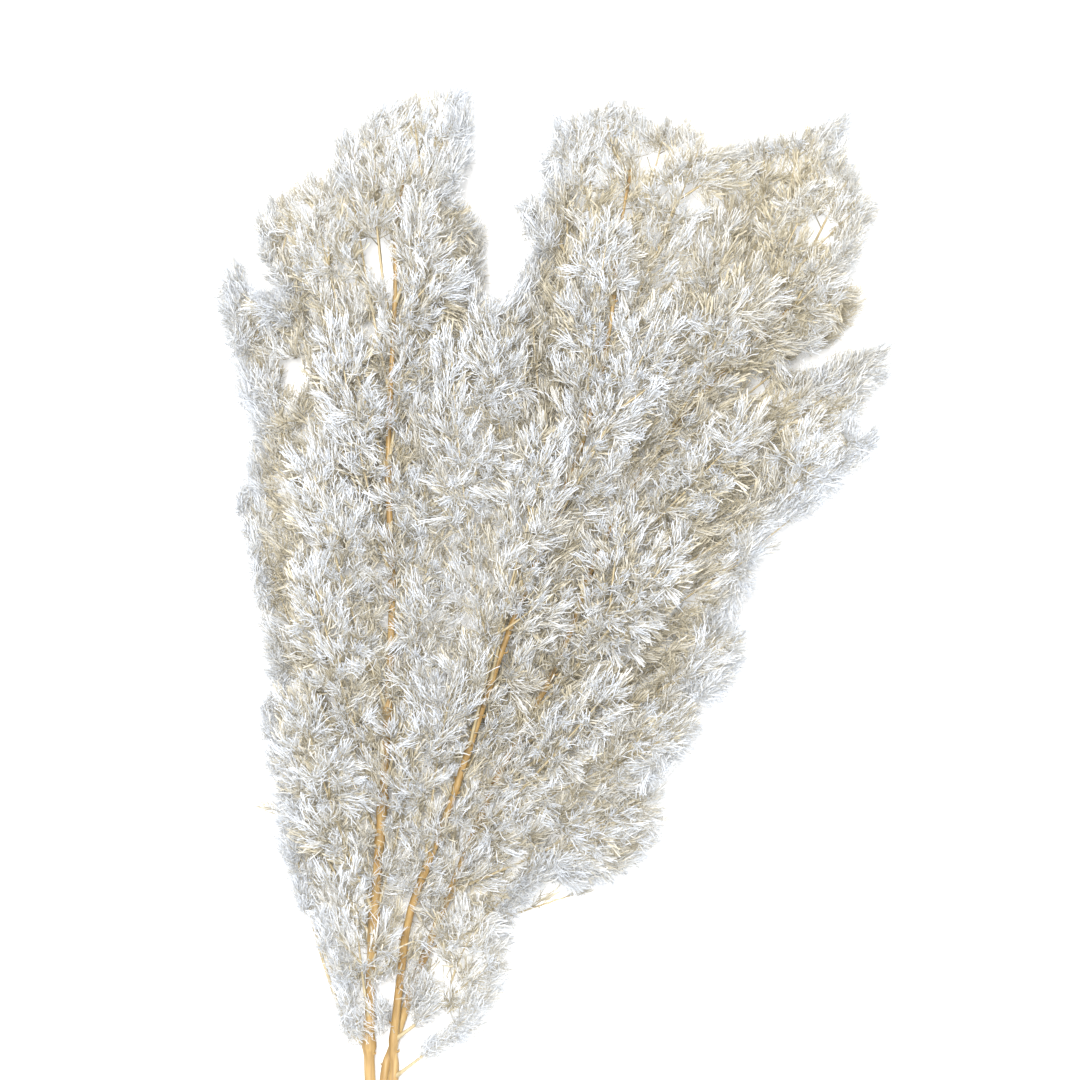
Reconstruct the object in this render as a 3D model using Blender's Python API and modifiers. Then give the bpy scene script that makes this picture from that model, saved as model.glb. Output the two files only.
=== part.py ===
"""A bunch of preserved, bleached ming fern, lying down: three woody stems held by a rubber band.

Each stem and the bare stalks that fork from it are one piece of tan wood. Each spray of needles
is another piece: a slim core that goes on from its stalk, forked into arms, with tufts round the
arms and needles round the tufts, all fused. Sizes are in millimetres, and MM turns them into
Blender's metres. The bunch lies on z = 0, and its stems run along +Y from their cut ends.
"""

import math
import random

import bmesh
import bpy
import numpy as np
from mathutils import Matrix, Vector

MM = 0.001
SEED = 11

# Each stem's axis from its cut end to its last fork, and its radius at both ends.
STEM_ROUTES = {
    "left": [(-115, -350, 10.8), (-117.3, -302, 11.6), (-119.7, -266, 13), (-119.7, -235, 17),
             (-117.8, -192, 26), (-114, -140, 38), (-108, -56, 55), (-104, 30, 66),
             (-106, 120, 72), (-102, 215, 74), (-101, 262, 74), (-95, 300, 72)],
    "middle": [(-107, -349, 8), (-110.1, -302, 10.4), (-104.2, -266, 11.5), (-104.8, -251, 13.5),
               (-100.4, -210, 20), (-93, -163, 32), (-68, -96, 52), (-38, -6, 68),
               (-12, 62, 76), (14, 130, 80), (30, 195, 82), (37, 258, 80), (44, 298, 78)],
    "right": [(-126, -347, 3.4), (-114.2, -302, 4.6), (-110, -266, 5.4), (-105, -251, 6.5),
              (-88, -201, 14), (-62, -136, 30), (-38, -78, 42), (0, -5, 52), (22, 56, 58),
              (53, 112, 62), (87, 158, 62), (124, 195, 60), (146, 215, 58)],
}
STEM_RADII = {"left": (3.8, 1.0), "middle": (3.1, 0.9), "right": (3.0, 0.9)}

# Each spray: the height y where its stalk leaves the stem, how far its middle bows out, and the
# tips of its arms. The first arm goes on from the stalk and the others fork from it. A tip below
# z = 0 stands for an arm that the surface presses flat.
SPRAYS = {
    "left": [
        (-246, 22, (-168, -92, 36), (-172, -125, 20)),
        (-238, 6, (-127, -152, 62), (-142, -172, 48)),
        (-180, 14, (-187, -34, 24), (-176, -62, 44)),
        (-165, 8, (-160, -26, 96), (-142, -66, 104)),
        (-170, 4, (-86, -42, 66), (-98, -72, 86)),
        (-118, 16, (-195, 100, 26), (-187, 62, 44)),
        (-100, 8, (-160, 30, -25)),
        (-95, 8, (-152, 52, 112), (-134, 8, 116)),
        (-95, 6, (-80, 68, 90), (-92, 26, 100)),
        (-40, 20, (-203, 244, 32), (-205, 208, 22), (-184, 226, 46), (-176, 158, 60)),
        (-40, 8, (-153, 122, 112), (-132, 88, 116)),
        (-10, 6, (-78, 142, 82), (-90, 104, 100)),
        (45, 10, (-182, 270, 56), (-172, 228, 76), (-166, 276, 66)),
        (40, 6, (-136, 196, 112), (-122, 152, 114)),
        (60, 8, (-142, 216, -25)),
        (100, 6, (-54, 276, 16), (-62, 240, 34)),
        (105, 6, (-156, 296, 86), (-142, 262, 100)),
        (115, 5, (-84, 273, 106), (-72, 236, 98)),
        (155, 6, (-133, 325, 62), (-130, 292, 84)),
        (195, 13, (-112, 341, 84), (-118, 304, 40)),
        (215, 5, (-60, 322, 60), (-66, 292, 84)),
        (240, -6, (-56, 348, 48), (-74, 338, 70), (-91, 349, 62)),
    ],
    "middle": [
        (-270, 5, (-46, -218, 46), (-66, -236, 28)),
        (-246, 6, (-34, -186, 40), (-52, -170, 66)),
        (-140, 6, (-63, -8, 92), (-78, -44, 84)),
        (-85, 8, (15, 60, -25)),
        (-62, 4, (-20, 78, 112), (-6, 36, 108)),
        (-14, 8, (-67, 192, 118), (-66, 150, 98), (-48, 122, 122)),
        (-20, 6, (-4, 136, 126), (-22, 106, 118)),
        (35, 6, (-44, 217, 96), (-24, 214, 80), (-42, 180, 116)),
        (60, 6, (62, 204, 128), (44, 168, 122), (72, 176, 104)),
        (85, 8, (-18, 245, 60), (-10, 212, 88)),
        (90, 8, (6, 254, -25)),
        (108, 10, (180, 332, 42), (150, 318, 62), (129, 321, 50), (118, 286, 46)),
        (130, 5, (30, 262, 128), (20, 226, 118)),
        (170, 7, (-12, 312, 60), (-25, 282, 42), (4, 290, 92)),
        (175, 6, (90, 322, 90), (74, 284, 112), (104, 300, 82)),
        (215, 5, (8, 332, 84), (18, 310, 58)),
        (222, 5, (68, 335, 62), (58, 306, 88)),
        (290, 18, (34, 347, 78), (20, 330, 60)),
    ],
    "right": [
        (-190, -8, (22, -152, -14), (-8, -128, 40)),
        (-150, 8, (64, -86, 52), (62, -116, 20), (36, -132, 34), (30, -96, 78)),
        (-118, 6, (32, -20, 116), (4, -58, 106)),
        (-108, 8, (90, -40, 78), (58, -46, 100)),
        (-84, 8, (116, 12, 58), (92, -8, 84), (106, -22, 34)),
        (-62, 8, (90, 6, -25)),
        (-42, 6, (72, 64, 126), (46, 26, 118), (38, 80, 106)),
        (-26, 8, (154, 90, 68), (128, 64, 92), (130, 84, 40)),
        (14, 8, (206, 137, 84), (176, 108, 70), (160, 128, 98)),
        (30, 8, (150, 116, -25)),
        (40, 6, (118, 142, 122), (92, 112, 124)),
        (58, 8, (206, 190, 60), (200, 168, 46), (184, 152, 70)),
        (112, 8, (186, 218, 24), (158, 194, 40)),
        (110, 6, (126, 232, 116), (98, 200, 122), (97, 262, 92)),
        (150, 8, (188, 258, 84), (158, 238, 100)),
        (166, 12, (195, 283, 58), (184, 302, 88), (152, 276, 98)),
    ],
}

# Stems, stalks and arms.
STEM_SIDES = 6
STEM_STEP = 40.0
STALK_RADII = (1.3, 0.9)
ARM_RADII = (1.0, 0.6)
ARM_SIDES = 3
ARM_STEP = 45.0
BARE_SHARES = ((-270, -120, 250), (0.40, 0.22, 0.10))  # of a first arm, by the height of its foot
SIDE_BARE_SHARE = 0.12
SIDE_BOW = 0.06  # of a side arm's length
FORK_BACK = 1.5  # from a side arm's tip back to its fork, in times the tip's way to the first arm
LEAST_FORK_BACK = 24.0
FORK_CLEAR = 4.0  # least way from the stalk's end to a fork
PRESSED_HEIGHT = 0.3  # of the axis of an arm that lies on the surface
PIECE_GAP = 0.3  # between nodes that meet face to face
CLEARANCE = 0.5  # least air between nodes that pass each other

# Tufts: short branchlets that stand round an arm and lean towards its tip.
TUFT_SPACING = 5.5
BUILT_EVERY = 5  # of the places for tufts along an arm, the solids fill one in so many
TUFT_LENGTHS = (40.0, 18.0)  # at the arm's foot and near its tip
TUFT_ANGLES = (50.0, 20.0)
TUFT_SHARES = (0.3, 1.0)  # of the arm, from where to where they change
LAST_TUFT = 20.0  # the one that ends an arm
TUFT_RADIUS = 1.9
TUFT_BELLY = 0.3  # of its length, where a tuft's core is widest
GOLDEN_ANGLE = 137.508

# Needles: three-sided, and tapered to a point.
NEEDLE_SIDES = 3
NEEDLE_LENGTH = 9.5
NEEDLE_RADIUS = 0.45
NEEDLE_ANGLE = 40.0
NEEDLE_SEATS = (0.3, 0.55)  # of the tuft's length

# The band that holds the stems together below the foliage.
BAND_Y = -302.0
BAND_WIDTH = 8.0
BAND_THICKNESS = 1.2
BAND_POINTS = 24

# Finishes: name, colour and roughness. Sprays whose tip is lower than CREAM_BELOW are cream.
WOOD = ("preserved_wood", (0.66, 0.46, 0.21), 0.55)
WHITE = ("white_needles", (0.87, 0.87, 0.84), 0.7)
CREAM = ("cream_needles", (0.76, 0.72, 0.62), 0.75)
RUBBER = ("natural_rubber", (0.72, 0.58, 0.36), 0.6)
CREAM_BELOW = 45.0

WELD = 0.002
SLAB = 1000.0  # the side of the block that stands for the surface


def unit(v):
    """v at length 1."""
    return v / np.linalg.norm(v)


def smooth_route(points, step):
    """A Catmull-Rom curve through the points, sampled about every step."""
    points = np.array(points, float)
    ends = [2 * points[0] - points[1], *points, 2 * points[-1] - points[-2]]
    made = []
    for a, b, c, d in zip(ends, ends[1:], ends[2:], ends[3:]):
        count = max(1, round(np.linalg.norm(c - b) / step))
        for t in np.arange(count) / count:
            made.append(0.5 * (2 * b + (c - a) * t + (2 * a - 5 * b + 4 * c - d) * t**2
                               + (3 * b - 3 * c + d - a) * t**3))
    return np.array([*made, points[-1]])


def arc_lengths(points):
    """The distance along a polyline to each of its points."""
    return np.concatenate([[0], np.cumsum(np.linalg.norm(np.diff(points, axis=0), axis=1))])


def point_at(points, distance):
    """(point, direction) at a distance along a polyline."""
    along = arc_lengths(points)
    at = np.array([np.interp(distance, along, points[:, i]) for i in range(3)])
    k = int(np.clip(np.searchsorted(along, distance) - 1, 0, len(points) - 2))
    return at, unit(points[k + 1] - points[k])


def stretch(points, start, end):
    """The part of a polyline between two distances along it."""
    along = arc_lengths(points)
    inner = points[(along > start + 1) & (along < end - 1)]
    return np.array([point_at(points, start)[0], *inner, point_at(points, end)[0]])


def around(ahead, angle, turn):
    """The direction that leans by angle from ahead, turned about it by turn, both in degrees."""
    side = unit(np.cross(ahead, (0, 0, 1)))
    angle, turn = math.radians(angle), math.radians(turn)
    out = math.cos(turn) * side + math.sin(turn) * np.cross(side, ahead)
    return math.cos(angle) * ahead + math.sin(angle) * out


def above_surface(point, least):
    """The point, lifted to the least height."""
    return np.array([point[0], point[1], max(point[2], least)])


class Arm:
    """One arm of a spray: its axis from the fork to the tip, and the places of its tufts."""

    def __init__(self, start, heading, tip, bow, bare_share):
        out = tip - start
        out = unit(out - (out @ heading) * heading)
        middle = (start + tip) / 2 + bow * out
        steps = max(2, round(np.linalg.norm(tip - start) / ARM_STEP))
        t = np.linspace(0, 1, steps + 1)[:, None]
        self.points = (1 - t) ** 2 * start + 2 * t * (1 - t) * middle + t**2 * tip
        self.points[:, 2] = self.points[:, 2].clip(PRESSED_HEIGHT)
        self.reach = arc_lengths(self.points)[-1]
        self.length = self.reach - LAST_TUFT
        self.bare = bare_share * self.length

    def fork(self, tip):
        """A side arm of this one, to its own tip."""
        distances = np.arange(0, self.reach, 4)
        away = [np.linalg.norm(point_at(self.points, d)[0] - tip) for d in distances]
        back = max(FORK_BACK * min(away), LEAST_FORK_BACK)
        distance = max(distances[int(np.argmin(away))] - back, self.bare + FORK_CLEAR)
        start, heading = point_at(self.points, distance)
        return Arm(start, heading, tip, SIDE_BOW * np.linalg.norm(tip - start), SIDE_BARE_SHARE)

    def tufts(self, draw):
        """(root, end) of each tuft that could stand on the arm, the one that ends it last."""
        span = self.length - self.bare
        count = max(3, round(span / TUFT_SPACING))
        phase = draw.uniform(0, 360)
        for k in range(count):
            share = (k + 0.6) / count
            root, ahead = point_at(self.points, self.bare + share * span)
            angle = np.interp(share, TUFT_SHARES, TUFT_ANGLES)
            way = around(ahead, angle, phase + k * GOLDEN_ANGLE)
            size = np.interp(share, TUFT_SHARES, TUFT_LENGTHS) * draw.uniform(0.82, 1.1)
            yield root, above_surface(root + size * way, PRESSED_HEIGHT)
        yield point_at(self.points, self.length - 2)[0], self.points[-1]

    def built_tufts(self, draw):
        """The tufts that the solids have, spread evenly, with the one that ends the arm."""
        tufts = list(self.tufts(draw))
        return tufts[BUILT_EVERY // 2 : -3 : BUILT_EVERY] + tufts[-1:]


class Spray:
    """One spray: the stem that it grows from, and its arms."""

    def __init__(self, stem, route, height, bow, tips):
        tips = [np.array(tip, float) for tip in tips]
        foot = min(int(np.abs(route[:, 1] - height).argmin()), len(route) - 2)
        heading = unit(route[foot + 1] - route[foot])
        share = np.interp(height, *BARE_SHARES)
        first = Arm(route[foot], heading, tips[0], bow, share)
        self.stem = stem
        self.arms = [first, *(first.fork(tip) for tip in tips[1:])]
        self.finish = CREAM if tips[0][2] < CREAM_BELOW else WHITE

    def stalk(self):
        """The axis of the bare wood that the spray stands on."""
        first = self.arms[0]
        return stretch(first.points, 0, first.bare)

    def core(self):
        """The axis of the first arm past its stalk."""
        first = self.arms[0]
        return stretch(first.points, first.bare + PIECE_GAP, first.length)


class Crowd:
    """The round rods placed so far, with the node that each belongs to."""

    def __init__(self):
        self.rods = np.zeros((0, 7))
        self.owners = np.zeros(0, object)

    def add(self, points, radius, owner):
        """Keeps the rods along a polyline."""
        rows = [np.concatenate([p, q, [radius]]) for p, q in zip(points, points[1:])]
        self.rods = np.vstack([self.rods, rows])
        self.owners = np.concatenate([self.owners, np.array([owner] * len(rows), object)])

    def take(self, start, end, radius, owner):
        """Keeps a rod if it stays clear of the rods of every other node, and says whether."""
        others = self.rods[self.owners != owner]
        gaps = segment_gaps(start, end, others[:, :3], others[:, 3:6]) - others[:, 6]
        free = gaps.min() > radius + CLEARANCE
        if free:
            self.add([start, end], radius, owner)
        return free


def segment_gaps(a0, a1, b0, b1):
    """The least distance between the segment a0 to a1 and each of the segments b0 to b1."""
    u, v, w = a1 - a0, b1 - b0, a0 - b0
    uu, uv, vv = u @ u, v @ u, np.einsum("ij,ij->i", v, v)
    uw, vw = w @ u, np.einsum("ij,ij->i", v, w)
    det = uu * vv - uv**2
    s = np.where(det > 1e-9, (uv * vw - vv * uw) / np.maximum(det, 1e-9), 0).clip(0, 1)
    t = ((uv * s + vw) / vv).clip(0, 1)
    s = ((uv * t - uw) / uu).clip(0, 1)
    return np.linalg.norm(w + s[:, None] * u - t[:, None] * v, axis=1)


def material(finish):
    """The Principled material of a finish, made once."""
    name, colour, roughness = finish
    if name in bpy.data.materials:
        return bpy.data.materials[name]
    made = bpy.data.materials.new(name)
    made.use_nodes = True
    shader = made.node_tree.nodes["Principled BSDF"]
    shader.inputs["Base Color"].default_value = (*colour, 1)
    shader.inputs["Roughness"].default_value = roughness
    shader.inputs["Metallic"].default_value = 0
    return made


def scratch_collection(name):
    """A collection for the pieces that fuse into one node."""
    made = bpy.data.collections.new(name)
    bpy.context.scene.collection.children.link(made)
    return made


def evaluated_mesh(obj):
    """A new mesh of what an object's bevel or modifiers make of it."""
    bpy.context.view_layer.update()
    graph = bpy.context.evaluated_depsgraph_get()
    return bpy.data.meshes.new_from_object(obj.evaluated_get(graph))


def apply_modifiers(obj):
    """Makes an object's modifiers part of its mesh."""
    mesh = evaluated_mesh(obj)
    obj.modifiers.clear()
    obj.data = mesh


def finish_shape(name, shape, matrix, collection):
    """An object from a bmesh, welded, facing out and set in place."""
    bmesh.ops.remove_doubles(shape, verts=shape.verts, dist=WELD * MM)
    bmesh.ops.transform(shape, matrix=matrix, verts=shape.verts)
    bmesh.ops.recalc_face_normals(shape, faces=shape.faces)
    mesh = bpy.data.meshes.new(name)
    shape.to_mesh(mesh)
    shape.free()
    made = bpy.data.objects.new(name, mesh)
    collection.objects.link(made)
    return made


def polyline(curve, points, radii=(1, 1)):
    """Adds an open spline of straight runs to a curve, and returns it."""
    spline = curve.splines.new("POLY")
    spline.points.add(len(points) - 1)
    along = arc_lengths(np.array(points, float))
    for place, distance, point in zip(points, along, spline.points):
        point.co = (*(np.array(place) * MM), 1)
        point.radius = np.interp(distance, (0, along[-1]), radii)
    return spline


def round_profile(sides):
    """A closed curve of that many sides and a radius of 1 mm, made once."""
    name = f"profile_{sides}"
    if name not in bpy.data.objects:
        curve = bpy.data.curves.new(name, "CURVE")
        turns = [math.pi / 2 + 2 * math.pi * i / sides for i in range(sides)]
        polyline(curve, [(math.cos(turn), math.sin(turn), 0) for turn in turns]).use_cyclic_u = True
        bpy.data.objects.new(name, curve).hide_render = True
    return bpy.data.objects[name]


def rod(name, points, radii, sides, collection):
    """A tapered rod with closed ends along a polyline."""
    curve = bpy.data.curves.new(name, "CURVE")
    curve.dimensions = "3D"
    curve.bevel_mode = "OBJECT"
    curve.bevel_object = round_profile(sides)
    curve.use_fill_caps = True
    polyline(curve, points, radii)
    drawn = bpy.data.objects.new(name + "_axis", curve)
    collection.objects.link(drawn)
    mesh = evaluated_mesh(drawn)
    bpy.data.objects.remove(drawn)
    shape = bmesh.new()
    shape.from_mesh(mesh)
    return finish_shape(name, shape, Matrix.Identity(4), collection)


def towards(start, end):
    """The matrix that stands +Z on start and points it at end."""
    way = Vector(end - start).to_track_quat("Z", "Y")
    return Matrix.Translation(Vector(start) * MM) @ way.to_matrix().to_4x4()


def needle(root, tip, collection):
    """One needle, a cone whose root is sunk in its tuft."""
    length = np.linalg.norm(tip - root) * MM
    shape = bmesh.new()
    bmesh.ops.create_cone(shape, cap_ends=True, segments=NEEDLE_SIDES, depth=length,
                          radius1=NEEDLE_RADIUS * MM, radius2=0)
    bmesh.ops.translate(shape, verts=shape.verts, vec=(0, 0, length / 2))
    finish_shape("needle", shape, towards(root, tip), collection)


def tuft_core(root, end, collection):
    """The slim three-sided spindle in the middle of a tuft."""
    length = np.linalg.norm(end - root)
    shape = bmesh.new()
    bmesh.ops.create_uvsphere(shape, u_segments=3, v_segments=2, radius=1)
    bmesh.ops.scale(shape, verts=shape.verts, vec=(TUFT_RADIUS * MM, TUFT_RADIUS * MM, 1))
    for vertex in shape.verts:
        share = np.interp(vertex.co.z, (-1, 0, 1), (0, TUFT_BELLY, 1))
        vertex.co.z = share * length * MM
    finish_shape("tuft", shape, towards(root, end), collection)


def fuse(base, pieces):
    """Joins a collection's objects to base as one body, and removes them."""
    union = base.modifiers.new("union", "BOOLEAN")
    union.operation = "UNION"
    union.operand_type = "COLLECTION"
    union.collection = pieces
    union.solver = "MANIFOLD"
    apply_modifiers(base)
    for obj in list(pieces.objects):
        bpy.data.objects.remove(obj)
    bpy.data.collections.remove(pieces)


def press_flat(obj):
    """Cuts off what of a node would reach below the surface."""
    if min(vertex.co.z for vertex in obj.data.vertices) >= 0:
        return
    shape = bmesh.new()
    bmesh.ops.create_cube(shape, size=SLAB * MM)
    lowered = Matrix.Translation((0, 0, -SLAB / 2 * MM))
    slab = finish_shape("slab", shape, lowered, bpy.context.scene.collection)
    cut = obj.modifiers.new("cut", "BOOLEAN")
    cut.operation = "DIFFERENCE"
    cut.object = slab
    cut.solver = "MANIFOLD"
    apply_modifiers(obj)
    bpy.data.objects.remove(slab)


def settle(obj, finish):
    """Presses a node flat where it lies on the surface, and gives it its finish."""
    press_flat(obj)
    obj.data.materials.clear()
    obj.data.materials.append(material(finish))
    obj.data.name = obj.name


def build_stem(name, sprays, bunch):
    """One woody stem with the bare stalk of each of its sprays."""
    axis = smooth_route(STEM_ROUTES[name], STEM_STEP)
    stem = rod(f"stem_{name}", axis, STEM_RADII[name], STEM_SIDES, bunch)
    stalks = scratch_collection("stalks")
    for spray in sprays:
        if spray.stem == name:
            rod("stalk", spray.stalk(), STALK_RADII, ARM_SIDES, stalks)
    fuse(stem, stalks)
    settle(stem, WOOD)


def build_spray(name, spray, crowd, bunch, draw):
    """One spray: its arms, and the tufts and needles that find room round them."""
    body = rod(name, spray.core(), ARM_RADII, ARM_SIDES, bunch)
    pieces = scratch_collection("pieces")
    for arm in spray.arms[1:]:
        rod("arm", stretch(arm.points, 0, arm.length), ARM_RADII, ARM_SIDES, pieces)
    for arm in spray.arms:
        for root, end in arm.built_tufts(draw):
            phase = draw.uniform(0, 360)
            if crowd.take(root, end, TUFT_RADIUS, name):
                tuft_core(root, end, pieces)
                add_needles(name, root, end, phase, crowd, pieces)
    fuse(body, pieces)
    settle(body, spray.finish)


def add_needles(name, root, end, phase, crowd, pieces):
    """The needles that find room round one tuft."""
    ahead = unit(end - root)
    for k, seat in enumerate(NEEDLE_SEATS):
        foot = root + seat * (end - root)
        turn = phase + 360 * k / len(NEEDLE_SEATS)
        tip = above_surface(foot + NEEDLE_LENGTH * around(ahead, NEEDLE_ANGLE, turn), NEEDLE_RADIUS)
        if crowd.take(foot, tip, NEEDLE_RADIUS, name):
            needle(foot, tip, pieces)


def band_ring(stems):
    """The outline round the three stems where the band holds them, as (x, z) points."""
    discs = []
    for name, route in stems.items():
        for y in (BAND_Y - BAND_WIDTH / 2, BAND_Y, BAND_Y + BAND_WIDTH / 2):
            x, z = (np.interp(y, route[:, 1], route[:, i]) for i in (0, 2))
            discs.append((x, z, STEM_RADII[name][0] + PIECE_GAP))
    for i in range(BAND_POINTS):
        turn = 2 * math.pi * i / BAND_POINTS
        across, up = math.cos(turn), math.sin(turn)
        x, z, reach = max(discs, key=lambda d: d[0] * across + d[1] * up + d[2])
        yield x + reach * across, z + reach * up


def build_band(stems, bunch):
    """The flat elastic band, an outline drawn out to its width and given its thickness."""
    curve = bpy.data.curves.new("rubber_band", "CURVE")
    curve.dimensions = "2D"
    curve.fill_mode = "NONE"
    curve.extrude = BAND_WIDTH / 2 * MM
    polyline(curve, [(x, z, 0) for x, z in band_ring(stems)]).use_cyclic_u = True
    drawn = bpy.data.objects.new("band_outline", curve)
    bunch.objects.link(drawn)
    mesh = evaluated_mesh(drawn)
    bpy.data.objects.remove(drawn)
    shape = bmesh.new()
    shape.from_mesh(mesh)
    stood = Matrix.Translation((0, BAND_Y * MM, 0)) @ Matrix.Rotation(math.pi / 2, 4, "X")
    band = finish_shape("rubber_band", shape, stood, bunch)
    thick = band.modifiers.new("thickness", "SOLIDIFY")
    thick.thickness = BAND_THICKNESS * MM
    thick.offset = 1
    thick.use_even_offset = True
    apply_modifiers(band)
    settle(band, RUBBER)


def recentre(bunch):
    """Moves the bunch so that the middle of its box's underside is the origin."""
    places = np.array([vertex.co for obj in bunch.objects for vertex in obj.data.vertices])
    middle = (places.min(axis=0) + places.max(axis=0)) / 2
    for obj in bunch.objects:
        obj.data.transform(Matrix.Translation((-middle[0], -middle[1], 0)))


def main():
    """Builds the whole bunch."""
    for obj in list(bpy.data.objects):
        bpy.data.objects.remove(obj)
    bunch = bpy.data.collections.new("ming_fern_bunch")
    bpy.context.scene.collection.children.link(bunch)
    draw = random.Random(SEED)
    stems = {name: smooth_route(points, 6) for name, points in STEM_ROUTES.items()}
    sprays = {
        f"spray_{stem}_{number:02d}": Spray(stem, stems[stem], height, bow, tips)
        for stem, rows in SPRAYS.items()
        for number, (height, bow, *tips) in enumerate(rows, 1)
    }
    crowd = Crowd()
    for name, route in stems.items():
        crowd.add(route, STEM_RADII[name][0], f"stem_{name}")
    for name, spray in sprays.items():
        crowd.add(spray.stalk(), STALK_RADII[0], f"stem_{spray.stem}")
        for axis in (spray.core(), *(arm.points for arm in spray.arms[1:])):
            crowd.add(axis, ARM_RADII[0], name)
    for name in stems:
        build_stem(name, sprays.values(), bunch)
    for name, spray in sprays.items():
        build_spray(name, spray, crowd, bunch, draw)
    build_band(stems, bunch)
    recentre(bunch)


main()
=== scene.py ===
"""A bunch of preserved, bleached ming fern on a pale floor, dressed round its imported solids.

The stems' routes and the sprays' tips are the ones that the solids are made from, in millimetres
in the layout's frame, which LAYOUT_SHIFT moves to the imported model's. Each stem becomes a grown,
uneven wood with its stalks. Round each spray's arms, twigs fork towards evenly spread places, and
each twig ends in a brush of flat, curly needles. The solids' own tufts stand among them.
"""

from __future__ import annotations

import logging
import math
import random
from collections.abc import Sequence
from dataclasses import dataclass, field
from enum import Enum

import bpy
import numpy as np
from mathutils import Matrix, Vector

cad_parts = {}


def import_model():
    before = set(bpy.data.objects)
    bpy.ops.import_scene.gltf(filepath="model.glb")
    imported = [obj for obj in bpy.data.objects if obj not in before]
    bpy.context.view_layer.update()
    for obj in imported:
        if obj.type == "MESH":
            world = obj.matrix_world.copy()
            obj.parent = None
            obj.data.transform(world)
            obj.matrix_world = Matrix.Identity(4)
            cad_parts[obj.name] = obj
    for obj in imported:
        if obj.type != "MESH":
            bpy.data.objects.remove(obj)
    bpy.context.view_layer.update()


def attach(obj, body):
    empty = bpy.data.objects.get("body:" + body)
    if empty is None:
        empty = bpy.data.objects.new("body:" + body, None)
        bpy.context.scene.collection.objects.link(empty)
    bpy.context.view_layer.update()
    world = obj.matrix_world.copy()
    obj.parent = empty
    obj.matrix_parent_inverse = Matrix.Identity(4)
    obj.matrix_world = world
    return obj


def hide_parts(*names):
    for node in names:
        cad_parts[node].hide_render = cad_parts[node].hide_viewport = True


Array = np.ndarray

MM = 0.001
SEED = 11  # the solids' own draw, so that their tufts are among these
LAYOUT_SHIFT = np.array([0.772, 0.595, 0.0])
GOLDEN_ANGLE = 137.508

# Each stem's axis from its cut end to its last fork, and its radius at both ends.
STEM_ROUTES = {
    "left": [(-115, -350, 10.8), (-117.3, -302, 11.6), (-119.7, -266, 13), (-119.7, -235, 17),
             (-117.8, -192, 26), (-114, -140, 38), (-108, -56, 55), (-104, 30, 66),
             (-106, 120, 72), (-102, 215, 74), (-101, 262, 74), (-95, 300, 72)],
    "middle": [(-107, -349, 8), (-110.1, -302, 10.4), (-104.2, -266, 11.5), (-104.8, -251, 13.5),
               (-100.4, -210, 20), (-93, -163, 32), (-68, -96, 52), (-38, -6, 68),
               (-12, 62, 76), (14, 130, 80), (30, 195, 82), (37, 258, 80), (44, 298, 78)],
    "right": [(-126, -347, 3.4), (-114.2, -302, 4.6), (-110, -266, 5.4), (-105, -251, 6.5),
              (-88, -201, 14), (-62, -136, 30), (-38, -78, 42), (0, -5, 52), (22, 56, 58),
              (53, 112, 62), (87, 158, 62), (124, 195, 60), (146, 215, 58)],
}
STEM_RADII = {"left": (3.8, 1.0), "middle": (3.1, 0.9), "right": (3.0, 0.9)}

# A bare stalk that leaves the left stem near its foot and stands outside the foliage.
BARE_STALK = [(-119.7, -252, 15), (-133, -240, 14), (-141, -220, 15), (-148, -199, 16),
              (-154, -178, 17), (-157, -160, 20), (-159, -142, 22)]

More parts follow.
